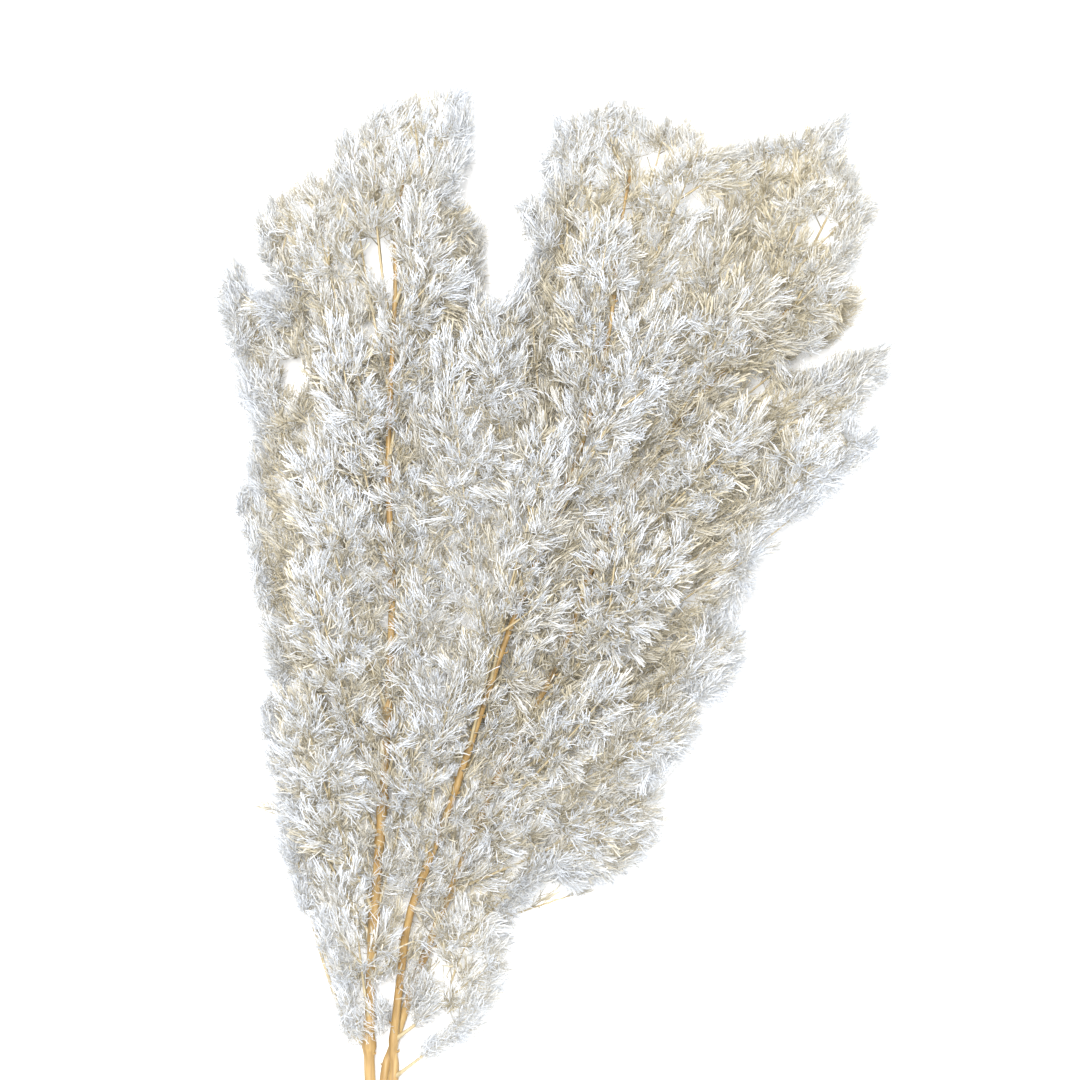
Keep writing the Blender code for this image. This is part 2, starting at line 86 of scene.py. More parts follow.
# Each spray: the height y where its stalk leaves the stem, how far its middle bows out, and the
# tips of its arms. The first arm goes on from the stalk and the others fork from it.
SPRAYS = {
    "left": [
        (-246, 22, (-168, -92, 36), (-172, -125, 20)),
        (-238, 6, (-127, -152, 62), (-142, -172, 48)),
        (-180, 14, (-187, -34, 24), (-176, -62, 44)),
        (-165, 8, (-160, -26, 96), (-142, -66, 104)),
        (-170, 4, (-86, -42, 66), (-98, -72, 86)),
        (-118, 16, (-195, 100, 26), (-187, 62, 44)),
        (-100, 8, (-160, 30, -25)),
        (-95, 8, (-152, 52, 112), (-134, 8, 116)),
        (-95, 6, (-80, 68, 90), (-92, 26, 100)),
        (-40, 20, (-203, 244, 32), (-205, 208, 22), (-184, 226, 46), (-176, 158, 60)),
        (-40, 8, (-153, 122, 112), (-132, 88, 116)),
        (-10, 6, (-78, 142, 82), (-90, 104, 100)),
        (45, 10, (-182, 270, 56), (-172, 228, 76), (-166, 276, 66)),
        (40, 6, (-136, 196, 112), (-122, 152, 114)),
        (60, 8, (-142, 216, -25)),
        (100, 6, (-54, 276, 16), (-62, 240, 34)),
        (105, 6, (-156, 296, 86), (-142, 262, 100)),
        (115, 5, (-84, 273, 106), (-72, 236, 98)),
        (155, 6, (-133, 325, 62), (-130, 292, 84)),
        (195, 13, (-112, 341, 84), (-118, 304, 40)),
        (215, 5, (-60, 322, 60), (-66, 292, 84)),
        (240, -6, (-56, 348, 48), (-74, 338, 70), (-91, 349, 62)),
    ],
    "middle": [
        (-270, 5, (-46, -218, 46), (-66, -236, 28)),
        (-246, 6, (-34, -186, 40), (-52, -170, 66)),
        (-140, 6, (-63, -8, 92), (-78, -44, 84)),
        (-85, 8, (15, 60, -25)),
        (-62, 4, (-20, 78, 112), (-6, 36, 108)),
        (-14, 8, (-67, 192, 118), (-66, 150, 98), (-48, 122, 122)),
        (-20, 6, (-4, 136, 126), (-22, 106, 118)),
        (35, 6, (-44, 217, 96), (-24, 214, 80), (-42, 180, 116)),
        (60, 6, (62, 204, 128), (44, 168, 122), (72, 176, 104)),
        (85, 8, (-18, 245, 60), (-10, 212, 88)),
        (90, 8, (6, 254, -25)),
        (108, 10, (180, 332, 42), (150, 318, 62), (129, 321, 50), (118, 286, 46)),
        (130, 5, (30, 262, 128), (20, 226, 118)),
        (170, 7, (-12, 312, 60), (-25, 282, 42), (4, 290, 92)),
        (175, 6, (90, 322, 90), (74, 284, 112), (104, 300, 82)),
        (215, 5, (8, 332, 84), (18, 310, 58)),
        (222, 5, (68, 335, 62), (58, 306, 88)),
        (290, 18, (34, 347, 78), (20, 330, 60)),
    ],
    "right": [
        (-190, -8, (22, -152, -14), (-8, -128, 40)),
        (-150, 8, (64, -86, 52), (62, -116, 20), (36, -132, 34), (30, -96, 78)),
        (-118, 6, (32, -20, 116), (4, -58, 106)),
        (-108, 8, (90, -40, 78), (58, -46, 100)),
        (-84, 8, (116, 12, 58), (92, -8, 84), (106, -22, 34)),
        (-62, 8, (90, 6, -25)),
        (-42, 6, (72, 64, 126), (46, 26, 118), (38, 80, 106)),
        (-26, 8, (154, 90, 68), (128, 64, 92), (130, 84, 40)),
        (14, 8, (206, 137, 84), (176, 108, 70), (160, 128, 98)),
        (30, 8, (150, 116, -25)),
        (40, 6, (118, 142, 122), (92, 112, 124)),
        (58, 8, (206, 190, 60), (200, 168, 46), (184, 152, 70)),
        (112, 8, (186, 218, 24), (158, 194, 40)),
        (110, 6, (126, 232, 116), (98, 200, 122), (97, 262, 92)),
        (150, 8, (188, 258, 84), (158, 238, 100)),
        (166, 12, (195, 283, 58), (184, 302, 88), (152, 276, 98)),
    ],
}

# Stretches, from y to y, where the photographed foliage parts and shows the stem behind it.
WINDOWS = {
    "left": [(-250, -206), (-170, -102), (8, 26), (79, 91), (124, 132), (158, 168), (212, 242)],
    "middle": [(-240, -120), (-98, 22), (184, 216), (262, 290)],
    "right": [],
}
WINDOW_REACH = 5.0  # how near the stem, seen from above, no brush may stand over it

# Small gaps right through the foliage: the middle of each, x and y, and its half width.
HOLES = [(-112, 246, 8), (-166, 176, 6), (-116, 201, 4), (55, 306, 6), (82, 282, 4), (162, 263, 5),
         (124, 167, 4), (150, 180, 3), (165, 185, 4), (180, 194, 5), (-71, -199, 4), (-73, -231, 5),
         (-105, -212, 3)]
HOLE_CLEAR = 4.5

# The outline of the foliage seen from above.
OUTLINE = [
    (-130, -238), (-136, -218), (-140, -196), (-150, -178), (-163, -143), (-171, -121),
    (-171, -96), (-178, -68), (-187, -36), (-179, -25), (-181, 19), (-192, 56), (-196, 81),
    (-200, 98), (-192, 115), (-188, 143), (-197, 164), (-201, 189), (-207, 211), (-208, 241),
    (-202, 246), (-195, 226), (-184, 223), (-177, 210), (-171, 217), (-184, 251), (-187, 272),
    (-176, 284), (-154, 299), (-138, 296), (-136, 325), (-123, 327), (-114, 341), (-96, 343),
    (-88, 350), (-58, 351), (-57, 343), (-61, 326), (-58, 310), (-69, 279), (-56, 275),
    (-50, 260), (-53, 229), (-57, 213), (-43, 218), (-24, 223), (-18, 244), (-10, 255),
    (-21, 270), (-25, 281), (-7, 285), (-7, 299), (-14, 310), (-2, 316), (-4, 334), (11, 335),
    (23, 343), (40, 344), (51, 330), (61, 325), (67, 334), (89, 325), (94, 312), (112, 312),
    (127, 321), (150, 325), (183, 335), (179, 321), (171, 309), (186, 301), (184, 289),
    (197, 281), (188, 269), (187, 254), (177, 241), (171, 233), (187, 222), (179, 206),
    (164, 192), (146, 187), (139, 175), (159, 171), (181, 184), (207, 192), (205, 174),
    (187, 160), (191, 150), (180, 135), (207, 138), (193, 124), (177, 115), (170, 104),
    (149, 89), (131, 82), (122, 65), (118, 46), (109, 29), (97, 19), (117, 14), (113, -2),
    (99, -26), (81, -27), (87, -38), (83, -55), (64, -72), (50, -78), (63, -84), (65, -109),
    (56, -124), (36, -143), (24, -138), (11, -148), (0, -135), (-10, -138), (-20, -150),
    (-30, -159), (-33, -180), (-33, -193), (-41, -211), (-53, -224), (-60, -239), (-81, -248),
    (-87, -223), (-93, -208), (-100, -217), (-108, -229), (-119, -236),
]

OUTLINE_CENTRE = np.array([-12.4, 68.2])  # what is straight below the camera
OUTLINE_HEIGHT = 60.0  # the plane that it is seen in
OUTLINE_RANGE = 3000.0  # of that plane from the camera

# The arms of a spray, as in the solids but along smooth curves.
ARM_STEP = 7.0
BARE_SHARES = ((-270, -120, 250), (0.40, 0.22, 0.10))
SIDE_BARE_SHARE = 0.12
SIDE_BOW = 0.06
FORK_BACK = 1.5
LEAST_FORK_BACK = 24.0
FORK_SEARCH = 4.0
FORK_CLEAR = 4.0
PRESSED_HEIGHT = 0.3
TUFT_SPACING = 5.5
TUFT_LENGTHS = (40.0, 18.0)
TUFT_ANGLES = (50.0, 20.0)
TUFT_SHARES = (0.3, 1.0)
TUFT_SIZES = (0.82, 1.1)
LEAST_TUFTS = 3
TUFT_START = 0.6
LAST_TUFT = 20.0
BUILT_EVERY = 5

# The brushes: full ones stand less than FULL_DEPTH deep in the foliage. Of the rest, those less
# than UNDER_RISE above its underside are the under ones, and the others are the inner ones.
FULL_DEPTH = 11.5
UNDER_RISE = 12.0
BRUSH_SIZES = (0.8, 1.2)
FOOT_SIZES = ((-220.0, -150.0), (1.2, 1.0))
SEAT_HEIGHTS = (3.0, 130.0)
HIGHEST = 143.0

# Tints, from 0 for cream to 1 for white.
# Painted shade, partly the inner needles' own cream: the deeper below the top, the creamer and
# darker the needles.
DEPTH_SHADE_TINTS = ((0.0, 6.0, 11.0, 14.0, 22.0), (1.0, 0.95, 0.8, 0.3, 0.0))
EDGE_SLOPE = 1.2  # how fast foliage darkens inwards from its outline, against downwards: painted shade
# Painted shade: the needles right at the outline are a little creamer and darker.
EDGE_SHADE_TINTS = ((0.0, 10.0), (0.1, 0.0))
TWIG_TINT = 0.25
# Painted shade: two low-lying plumes are made creamer and darker.
PLUME_SHADE_TINTS = {"spray_right_13": -0.7, "spray_left_16": -0.35}
PLUME_STRAY = 0.08
BRUSH_STRAY = 0.12
# Where the needles are whiter or creamier: the middle, x and y, the reach and the tint to add. The
# creamer patches are partly the needles' own tone and partly painted shade where the foliage lies
# in shadow.
TINT_AND_SHADE_PATCHES = [(-150, 90, 80, 0.1), (-118, 278, 60, -0.2), (140, 245, 60, -0.5),
                (60, 290, 50, -0.2), (-50, 20, 60, -0.2), (-70, -120, 60, -0.2)]

TINT_RANGE = (0.03, 0.97)
MAP_EDGE = 0.01
NOISE_RANGE = (0.3, 0.7)
MAP_NAME = "OFBake"  # the needles' map: the tint across, cream to white, and root to tip upwards


class Slot(Enum):
    """The record's material slots."""

    WOOD = "preserved_wood"
    WHITE = "white_needles"
    CREAM = "cream_needles"
    RUBBER = "natural_rubber"


def unit(v: Array) -> Array:
    """The vectors v at length 1, along their last axis."""
    return v / np.linalg.norm(v, axis=-1, keepdims=True)


def smooth_route(points: Sequence[Sequence[float]], step: float) -> Array:
    """A Catmull-Rom curve through points.

    Args:
        points: the places it passes.
        step: the rough distance between its samples.

    Returns:
        The samples, one row each.
    """
    places = np.array(points, float)
    ends = [2 * places[0] - places[1], *places, 2 * places[-1] - places[-2]]
    made = []
    for a, b, c, d in zip(ends, ends[1:], ends[2:], ends[3:]):
        count = max(1, round(float(np.linalg.norm(c - b)) / step))
        for t in np.arange(count) / count:
            made.append(0.5 * (2 * b + (c - a) * t + (2 * a - 5 * b + 4 * c - d) * t**2
                               + (3 * b - 3 * c + d - a) * t**3))
    return np.array([*made, places[-1]])


def arc_lengths(points: Array) -> Array:
    """The distance along a polyline to each of its points."""
    return np.concatenate([[0], np.cumsum(np.linalg.norm(np.diff(points, axis=0), axis=1))])


def point_at(points: Array, distance: float) -> tuple[Array, Array]:
    """The point and the direction at a distance along a polyline.

    Args:
        points: the polyline.
        distance: how far along it.

    Returns:
        The place and the unit direction there.
    """
    along = arc_lengths(points)
    at = np.array([np.interp(distance, along, points[:, i]) for i in range(3)])
    k = int(np.clip(np.searchsorted(along, distance) - 1, 0, len(points) - 2))
    return at, unit(points[k + 1] - points[k])


def stretch(points: Array, start: float, end: float) -> Array:
    """The part of a polyline between two distances along it.

    Args:
        points: the polyline.
        start: where the part begins.
        end: where it ends.

    Returns:
        The points of that part.
    """
    along = arc_lengths(points)
    inner = points[(along > start + 0.5) & (along < end - 0.5)]
    return np.array([point_at(points, start)[0], *inner, point_at(points, end)[0]])


def around(ahead: Array, angle: float, turn: float) -> Array:
    """The direction that leans by angle from ahead, turned about it.

    Args:
        ahead: the unit direction to lean from.
        angle: the lean in degrees.
        turn: the turn about ahead in degrees.

    Returns:
        The unit direction.
    """
    side = unit(np.cross(ahead, (0, 0, 1)))
    lean, turned = math.radians(angle), math.radians(turn)
    out = math.cos(turned) * side + math.sin(turned) * np.cross(side, ahead)
    return math.cos(lean) * ahead + math.sin(lean) * out


def sides_of(ahead: Array) -> tuple[Array, Array]:
    """Two unit directions square to each of a list of directions and to each other."""
    side = unit(np.cross(ahead, (0.05, 0.08, 1.0)))
    return side, np.cross(side, ahead)


def inside(outline: Array, places: Array) -> Array:
    """Whether places lie inside an outline, seen from above.

    Args:
        outline: its corners.
        places: the places, one row each.

    Returns:
        True for each place inside it.
    """
    x, y = places[:, 0], places[:, 1]
    odd = np.zeros(len(places), bool)
    for (x0, y0), (x1, y1) in zip(outline, np.roll(outline, -1, axis=0)):
        if y0 != y1:
            odd ^= ((y0 > y) != (y1 > y)) & (x < x0 + (y - y0) * (x1 - x0) / (y1 - y0))
    return odd


def edge_distance(outline: Array, places: Array) -> Array:
    """How far places lie from an outline, seen from above.

    Args:
        outline: its corners.
        places: the places, one row each.

    Returns:
        The distance of each.
    """
    least = np.full(len(places), np.inf)
    for start, end in zip(outline, np.roll(outline, -1, axis=0)):
        along, away = end - start, places[:, :2] - start
        share = (away @ along / (along @ along)).clip(0, 1)
        least = np.minimum(least, np.linalg.norm(away - share[:, None] * along, axis=1))
    return least


@dataclass
class Draft:
    """The mesh of one piece, gathered a part at a time, in millimetres in the layout's frame."""

    points: list[Array] = field(default_factory=list)
    triangles: list[Array] = field(default_factory=list)
    places: list[Array] = field(default_factory=list)
    finishes: list[Array] = field(default_factory=list)
    count: int = 0

    def add(self, points: Array, triangles: Array, places: Array, finish: int = 0) -> None:
        """Adds one part.

        Args:
            points: its vertices.
            triangles: its faces, as three vertex numbers each.
            places: the two map coordinates of each vertex.
            finish: the number of its material.
        """
        self.points.append(points)
        self.triangles.append(triangles + self.count)
        self.places.append(places)
        self.finishes.append(np.full(len(triangles), finish))
        self.count += len(points)

    def piece(self, name: str, materials: Sequence[bpy.types.Material]) -> bpy.types.Object:
        """Makes the piece.

        Args:
            name: the object's name.
            materials: its materials, in the order of the finish numbers.

        Returns:
            The object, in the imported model's frame and in metres.
        """
        points = (np.vstack(self.points) + LAYOUT_SHIFT) * MM
        points[:, 2] = points[:, 2].clip(0)
        triangles = np.vstack(self.triangles).astype(np.int32)
        places = np.vstack(self.places)
        mesh = bpy.data.meshes.new(name)
        mesh.vertices.add(len(points))
        mesh.vertices.foreach_set("co", points.astype(np.float32).ravel())
        mesh.loops.add(triangles.size)
        mesh.loops.foreach_set("vertex_index", triangles.ravel())
        mesh.polygons.add(len(triangles))
        mesh.polygons.foreach_set("loop_start", np.arange(0, triangles.size, 3, dtype=np.int32))
        mesh.polygons.foreach_set("material_index", np.concatenate(self.finishes).astype(np.int32))
        mesh.polygons.foreach_set("use_smooth", np.ones(len(triangles), bool))
        chart = mesh.uv_layers.new(name=MAP_NAME)
        chart.uv.foreach_set("vector", places[triangles.ravel()].astype(np.float32).ravel())
        for material in materials:
            mesh.materials.append(material)
        mesh.update(calc_edges=True)
        mesh.validate()
        made = bpy.data.objects.new(name, mesh)
        bpy.context.scene.collection.objects.link(made)
        return made


def tube(points: Array, radii: Array, sides: int, turn: float = 0.0) -> tuple[Array, Array, Array]:
    """A tube with a closed start and a pointed end.

    Args:
        points: its axis, one row for each ring.
        radii: one radius for each ring, or a row of them, one for each side.
        sides: how many sides it has.
        turn: how far its rings are turned, in radians.

    Returns:
        Its vertices, triangles and map coordinates: round it and along it.
    """
    ahead = unit(np.gradient(points, axis=0))
    first, _ = sides_of(ahead[:1])
    side = [first[0]]
    for way in ahead[1:]:
        side.append(unit(side[-1] - (side[-1] @ way) * way))
    side = np.array(side)
    up = np.cross(side, ahead)
    turns = turn + 2 * np.pi * np.arange(sides) / sides
    out = np.cos(turns)[None, :, None] * side[:, None] + np.sin(turns)[None, :, None] * up[:, None]
    reach = radii[:, None] if radii.ndim == 1 else radii
    rings = points[:, None] + reach[..., None] * out
    count = len(points)
    here = (np.arange(count - 1)[:, None] * sides + np.arange(sides)).ravel()
    next_round = (np.arange(count - 1)[:, None] * sides + (np.arange(sides) + 1) % sides).ravel()
    wall = np.vstack([np.stack([here, here + sides, next_round], 1),
                      np.stack([next_round, here + sides, next_round + sides], 1)])
    start, end = count * sides, count * sides + 1
    ring = np.arange(sides)
    after = (ring + 1) % sides
    last = (count - 1) * sides
    caps = np.vstack([np.stack([np.full(sides, start), ring, after], 1),
                      np.stack([np.full(sides, end), last + after, last + ring], 1)])
    along = arc_lengths(points)
    chart = np.stack(np.broadcast_arrays((ring / sides)[None], along[:, None] / 100), -1)
    vertices = np.vstack([rings.reshape(-1, 3), points[:1], points[-1:]])
    places = np.vstack([chart.reshape(-1, 2), [(0.5, 0)], [(0.5, along[-1] / 100)]])
    return vertices, np.vstack([wall, caps]), places


class Paint:
    """A Principled material, built up a node at a time."""

    def __init__(self, name: str) -> None:
        """Starts the material.

        Args:
            name: what it is called.
        """
        self.material = bpy.data.materials.new(name)
        self.material.use_nodes = True
        self.tree = self.material.node_tree
        self.shader = self.tree.nodes["Principled BSDF"]

    def node(self, kind: str, **settings: object) -> bpy.types.Node:
        """Adds a node.

        Args:
            kind: its type, without the ShaderNode that all of them start with.
            settings: its properties.

        Returns:
            The node.
        """
        made = self.tree.nodes.new("ShaderNode" + kind)
        for key, value in settings.items():
            setattr(made, key, value)
        return made

    def link(self, source: bpy.types.NodeSocket, target: bpy.types.NodeSocket) -> None:
        """Joins two sockets."""
        self.tree.links.new(source, target)

    def ramp(self, source: bpy.types.NodeSocket,
             stops: Sequence[tuple[float, tuple[float, float, float]]]) -> bpy.types.NodeSocket:
        """A colour that follows a number.

        Args:
            source: the number.
            stops: each number with its colour.

        Returns:
            The colour.
        """
        made = self.node("ValToRGB")
        elements = made.color_ramp.elements
        while len(elements) < len(stops):
            elements.new(0.5)
        for element, (position, colour) in zip(elements, stops):
            element.position = position
            element.color = (*colour, 1)
        self.link(source, made.inputs[0])
        return made.outputs[0]

    def mix(self, share: bpy.types.NodeSocket | float, low: bpy.types.NodeSocket,
            high: bpy.types.NodeSocket, blend: str = "MIX") -> bpy.types.NodeSocket:
        """A mix of two colours.

        Args:
            share: how much of high there is.
            low: the first colour.
            high: the second colour.
            blend: how they combine.

        Returns:
            The mixed colour.
        """
        made = self.node("Mix", data_type="RGBA", blend_type=blend)
        if isinstance(share, float):
            made.inputs[0].default_value = share
        else:
            self.link(share, made.inputs[0])
        self.link(low, made.inputs[6])
        self.link(high, made.inputs[7])
        return made.outputs[2]

    def noise(self, vector: bpy.types.NodeSocket, scale: float, detail: float = 3.0,
              stretched: tuple[float, float, float] = (1, 1, 1)) -> bpy.types.NodeSocket:
        """Smooth noise between about 0.3 and 0.7.

        Args:
            vector: the coordinates it is read at.
            scale: how fine it is.
            detail: its octaves.
            stretched: a factor for each axis.

        Returns:
            The noise.
        """
        mapping = self.node("Mapping")
        mapping.inputs["Scale"].default_value = stretched
        self.link(vector, mapping.inputs["Vector"])
        made = self.node("TexNoise")
        made.inputs["Scale"].default_value = scale
        made.inputs["Detail"].default_value = detail
        self.link(mapping.outputs[0], made.inputs["Vector"])
        return made.outputs["Fac"]

    def span(self, source: bpy.types.NodeSocket, low: float, high: float) -> bpy.types.NodeSocket:
        """Noise stretched to another range.

        Args:
            source: the noise.
            low: what the low end of NOISE_RANGE becomes.
            high: what its high end becomes.

        Returns:
            The stretched noise.
        """
        made = self.node("MapRange")
        for socket, value in zip(made.inputs[1:5], (*NOISE_RANGE, low, high)):
            socket.default_value = value
        self.link(source, made.inputs[0])
        return made.outputs[0]

    def bump(self, height: bpy.types.NodeSocket, distance: float, strength: float) -> None:
        """Gives the surface a fine relief.

        Args:
            height: the relief.
            distance: its depth in metres.
            strength: how much of it shows.
        """
        made = self.node("Bump")
        made.inputs["Distance"].default_value = distance
        made.inputs["Strength"].default_value = strength
        self.link(height, made.inputs["Height"])
        self.link(made.outputs[0], self.shader.inputs["Normal"])


@dataclass(frozen=True)
class NeedleFinish:
    """Bleached needles, with their tint across their map and root to tip up it. Each ramp darkens
    towards the root: partly the needles' own creamier base, partly painted shade in the heart of a
    brush. The white ramp's bluish tip is partly painted skylight on the outer needles.
    """

    name: str = "bleached_needles"
    # Darker roots: partly the needles' own base colour, partly painted shade. The white tip's blue:
    # partly painted skylight.
    cream: tuple[tuple[float, tuple[float, float, float]], ...] = (
        (0.0, (0.28, 0.23, 0.14)), (0.35, (0.45, 0.40, 0.285)), (1.0, (0.55, 0.50, 0.385)))
    white: tuple[tuple[float, tuple[float, float, float]], ...] = (
        (0.0, (0.40, 0.38, 0.32)), (0.3, (0.565, 0.585, 0.615)), (1.0, (0.63, 0.67, 0.745)))
    roughness: float = 0.6

    def material(self) -> bpy.types.Material:
        """Makes the needles' material.

        Returns:
            The material.
        """
        paint = Paint(self.name)
        chart = paint.node("UVMap", uv_map=MAP_NAME)
        parts = paint.node("SeparateXYZ")
        paint.link(chart.outputs[0], parts.inputs[0])
        tint, height = parts.outputs[0], parts.outputs[1]
        colour = paint.mix(tint, paint.ramp(height, self.cream), paint.ramp(height, self.white))
        fleck = paint.noise(chart.outputs[0], 9.0, 2.0, (6, 1, 1))
        shade = paint.ramp(fleck, ((0.3, (0.90, 0.89, 0.87)), (0.7, (1, 1, 1))))
        paint.link(paint.mix(1.0, colour, shade, "MULTIPLY"), paint.shader.inputs["Base Color"])
        paint.link(paint.span(fleck, self.roughness - 0.08, self.roughness + 0.1),
                   paint.shader.inputs["Roughness"])
        paint.shader.inputs["Specular IOR Level"].default_value = 0.35
        return paint.material


@dataclass(frozen=True)
class WoodFinish:
    """Bleached, dyed wood with lengthwise streaks."""

    name: str
    dark: tuple[float, float, float]
    middle: tuple[float, float, float]
    light: tuple[float, float, float]
    roughness: float = 0.5
    relief: float = 0.0004

    def material(self) -> bpy.types.Material:
        """Makes the wood's material.

        Returns:
            The material.
        """
        paint = Paint(self.name)
        coordinates = paint.node("TexCoord").outputs["Object"]
        streaks = paint.noise(coordinates, 420.0, 5.0, (1, 0.05, 1))
        patches = paint.noise(coordinates, 60.0, 3.0, (1, 0.35, 1))
        streaked = paint.ramp(streaks, ((0.32, self.dark), (0.5, self.middle), (0.68, self.light)))
        faded = paint.ramp(patches, ((0.35, self.middle), (0.65, self.light)))
        paint.link(paint.mix(0.4, streaked, faded), paint.shader.inputs["Base Color"])
        paint.link(paint.span(streaks, self.roughness + 0.12, self.roughness - 0.08),
                   paint.shader.inputs["Roughness"])
        paint.bump(streaks, self.relief, 0.7)
        return paint.material


@dataclass(frozen=True)
class RubberFinish:
    """Matt natural rubber."""

    name: str = "natural_rubber_band"
    dark: tuple[float, float, float] = (0.50, 0.33, 0.15)
    light: tuple[float, float, float] = (0.68, 0.50, 0.27)

    def material(self) -> bpy.types.Material:
        """Makes the band's material.

        Returns:
            The material.
        """
        paint = Paint(self.name)
        coordinates = paint.node("TexCoord").outputs["Object"]
        cloud = paint.noise(coordinates, 300.0)
        paint.link(paint.ramp(cloud, ((0.35, self.dark), (0.65, self.light))),
                   paint.shader.inputs["Base Color"])
        paint.link(paint.span(cloud, 0.42, 0.6), paint.shader.inputs["Roughness"])
        paint.bump(paint.noise(coordinates, 1500.0), 0.0001, 0.5)
        return paint.material


@dataclass(frozen=True)
class FloorFinish:
    """A matt, pale floor."""

    name: str = "pale_floor"
    dark: tuple[float, float, float] = (0.84, 0.84, 0.84)
    light: tuple[float, float, float] = (0.87, 0.87, 0.87)

    def material(self) -> bpy.types.Material:
        """Makes the floor's material.

        Returns:
            The material.
        """
        paint = Paint(self.name)
        coordinates = paint.node("TexCoord").outputs["Object"]
        cloud = paint.noise(coordinates, 3.0)
        paint.link(paint.ramp(cloud, ((0.3, self.dark), (0.7, self.light))),
                   paint.shader.inputs["Base Color"])
        paint.shader.inputs["Roughness"].default_value = 0.9
        paint.shader.inputs["Specular IOR Level"].default_value = 0.1
        return paint.material


@dataclass(frozen=True)
class Brush:
    """The flat needles along the last of a twig, which lean out and close again at their tips."""

    needles: int
    width: float
    length: float = 13.0
    foot: float = 9.5  # the length of twig that they stand along
    spread: tuple[float, float] = (6.0, 74.0)
    closing: float = 1.2  # the share of its lean that a needle loses by its tip
    curl: float = 1.5
    wave: float = 0.45  # the chance turn of each of its lengths, in radians
    bends: tuple[float, ...] = (0.35, 0.88)  # where along a needle it bends
    turn_stray: float = 0.2  # in radians
    lean_stray: float = 8.0  # in degrees
    closing_stray: float = 0.3
    twist: float = 0.6  # in radians
    lengths: tuple[float, float] = (0.75, 1.1)  # shares of the full length
    tint_stray: float = 0.2

    def grow(self, seats: Array, ways: Array, sizes: Array, tints: Array,
             draw: np.random.Generator) -> tuple[Array, Array, Array]:
        """The needles of several brushes.

        Args:
            seats: the twig's end in each brush.
            ways: the unit direction that it points.
            sizes: its size, where 1 is full.
            tints: its tint, 0 for cream to 1 for white.
            draw: what its chances are drawn from.

        Returns:
            Their vertices, triangles and map coordinates.
        """
        shape = (len(seats), self.needles)
        rank = (np.arange(self.needles) + 0.5) / self.needles
        turn = (np.radians(GOLDEN_ANGLE) * np.arange(self.needles)
                + draw.uniform(0, 2 * np.pi, (len(seats), 1))
                + draw.normal(0, self.turn_stray, shape))
        lean = np.radians(self.spread[0] + (self.spread[1] - self.spread[0]) * np.sqrt(rank)
                          + draw.normal(0, self.lean_stray, shape))
        lost = lean * (self.closing + draw.normal(0, self.closing_stray, shape))
        curl = draw.normal(0, self.curl, shape)
        twist = draw.normal(0, self.twist, shape)
        length = self.length * sizes[:, None] * draw.uniform(*self.lengths, shape)
        side, up = sides_of(ways)

        def direction(share: float) -> tuple[Array, Array]:
            """Works out which way the needles point.

            Args:
                share: how far along them.

            Returns:
                Their directions there, and the ways that they are wide.
            """
            angle = lean - share * lost + draw.normal(0, self.wave, shape)
            round_it = turn + share * curl
            cos_turn, sin_turn = np.cos(round_it)[..., None], np.sin(round_it)[..., None]
            out = cos_turn * side[:, None] + sin_turn * up[:, None]
            across = cos_turn * up[:, None] - sin_turn * side[:, None]
            cos_lean, sin_lean = np.cos(angle)[..., None], np.sin(angle)[..., None]
            ahead = cos_lean * ways[:, None] + sin_lean * out
            over = cos_lean * out - sin_lean * ways[:, None]
            wide = np.cos(twist)[..., None] * across + np.sin(twist)[..., None] * over
            return ahead, wide

        root = seats[:, None] - (self.foot * sizes[:, None] * rank)[..., None] * ways[:, None]
        shares = (0.0, *self.bends, 1.0)
        spine, rows = root, [root]
        for start, end in zip(shares, shares[1:]):
            ahead, wide = direction((start + end) / 2)
            spine = spine + ((end - start) * length)[..., None] * ahead
            edge = (self.width / 2) * wide
            rows += [spine - edge, spine + edge] if end < 1 else [spine]
        points = np.stack(rows, 2).reshape(-1, 3)
        points[:, 2] = points[:, 2].clip(PRESSED_HEIGHT, HIGHEST)
        corners, count = len(rows), shape[0] * shape[1]
        faces = np.array([(k, k + 1 + k % 2, k + 2 - k % 2) for k in range(corners - 2)])
        triangles = (corners * np.arange(count)[:, None, None] + faces).reshape(-1, 3)
        return points, triangles, self.chart(tints, shape, draw)

    def chart(self, tints: Array, shape: tuple[int, int], draw: np.random.Generator) -> Array:
        """The needles' map coordinates.

        Args:
            tints: the tint of each brush.
            shape: the number of brushes, and of needles in each.
            draw: what the needles' own tints are drawn from.

        Returns:
            The coordinates of each vertex.
        """
        tint = tints[:, None] + draw.normal(0, self.tint_stray, shape)
        tint = tint.clip(*TINT_RANGE).reshape(-1, 1)
        heights = [MAP_EDGE, *(share for share in self.bends for _ in (0, 1)), 1 - MAP_EDGE]
        offsets = np.array([(MAP_EDGE * (-1) ** k, height) for k, height in enumerate(heights)])
        return (offsets + np.stack([tint, np.zeros_like(tint)], -1)).reshape(-1, 2)


FULL_BRUSH = Brush(38, 0.38, bends=(0.3, 0.62, 0.95))  # near the top of the foliage
UNDER_BRUSH = Brush(24, 0.7)  # near its underside
INNER_BRUSH = Brush(20, 0.85)  # between the two


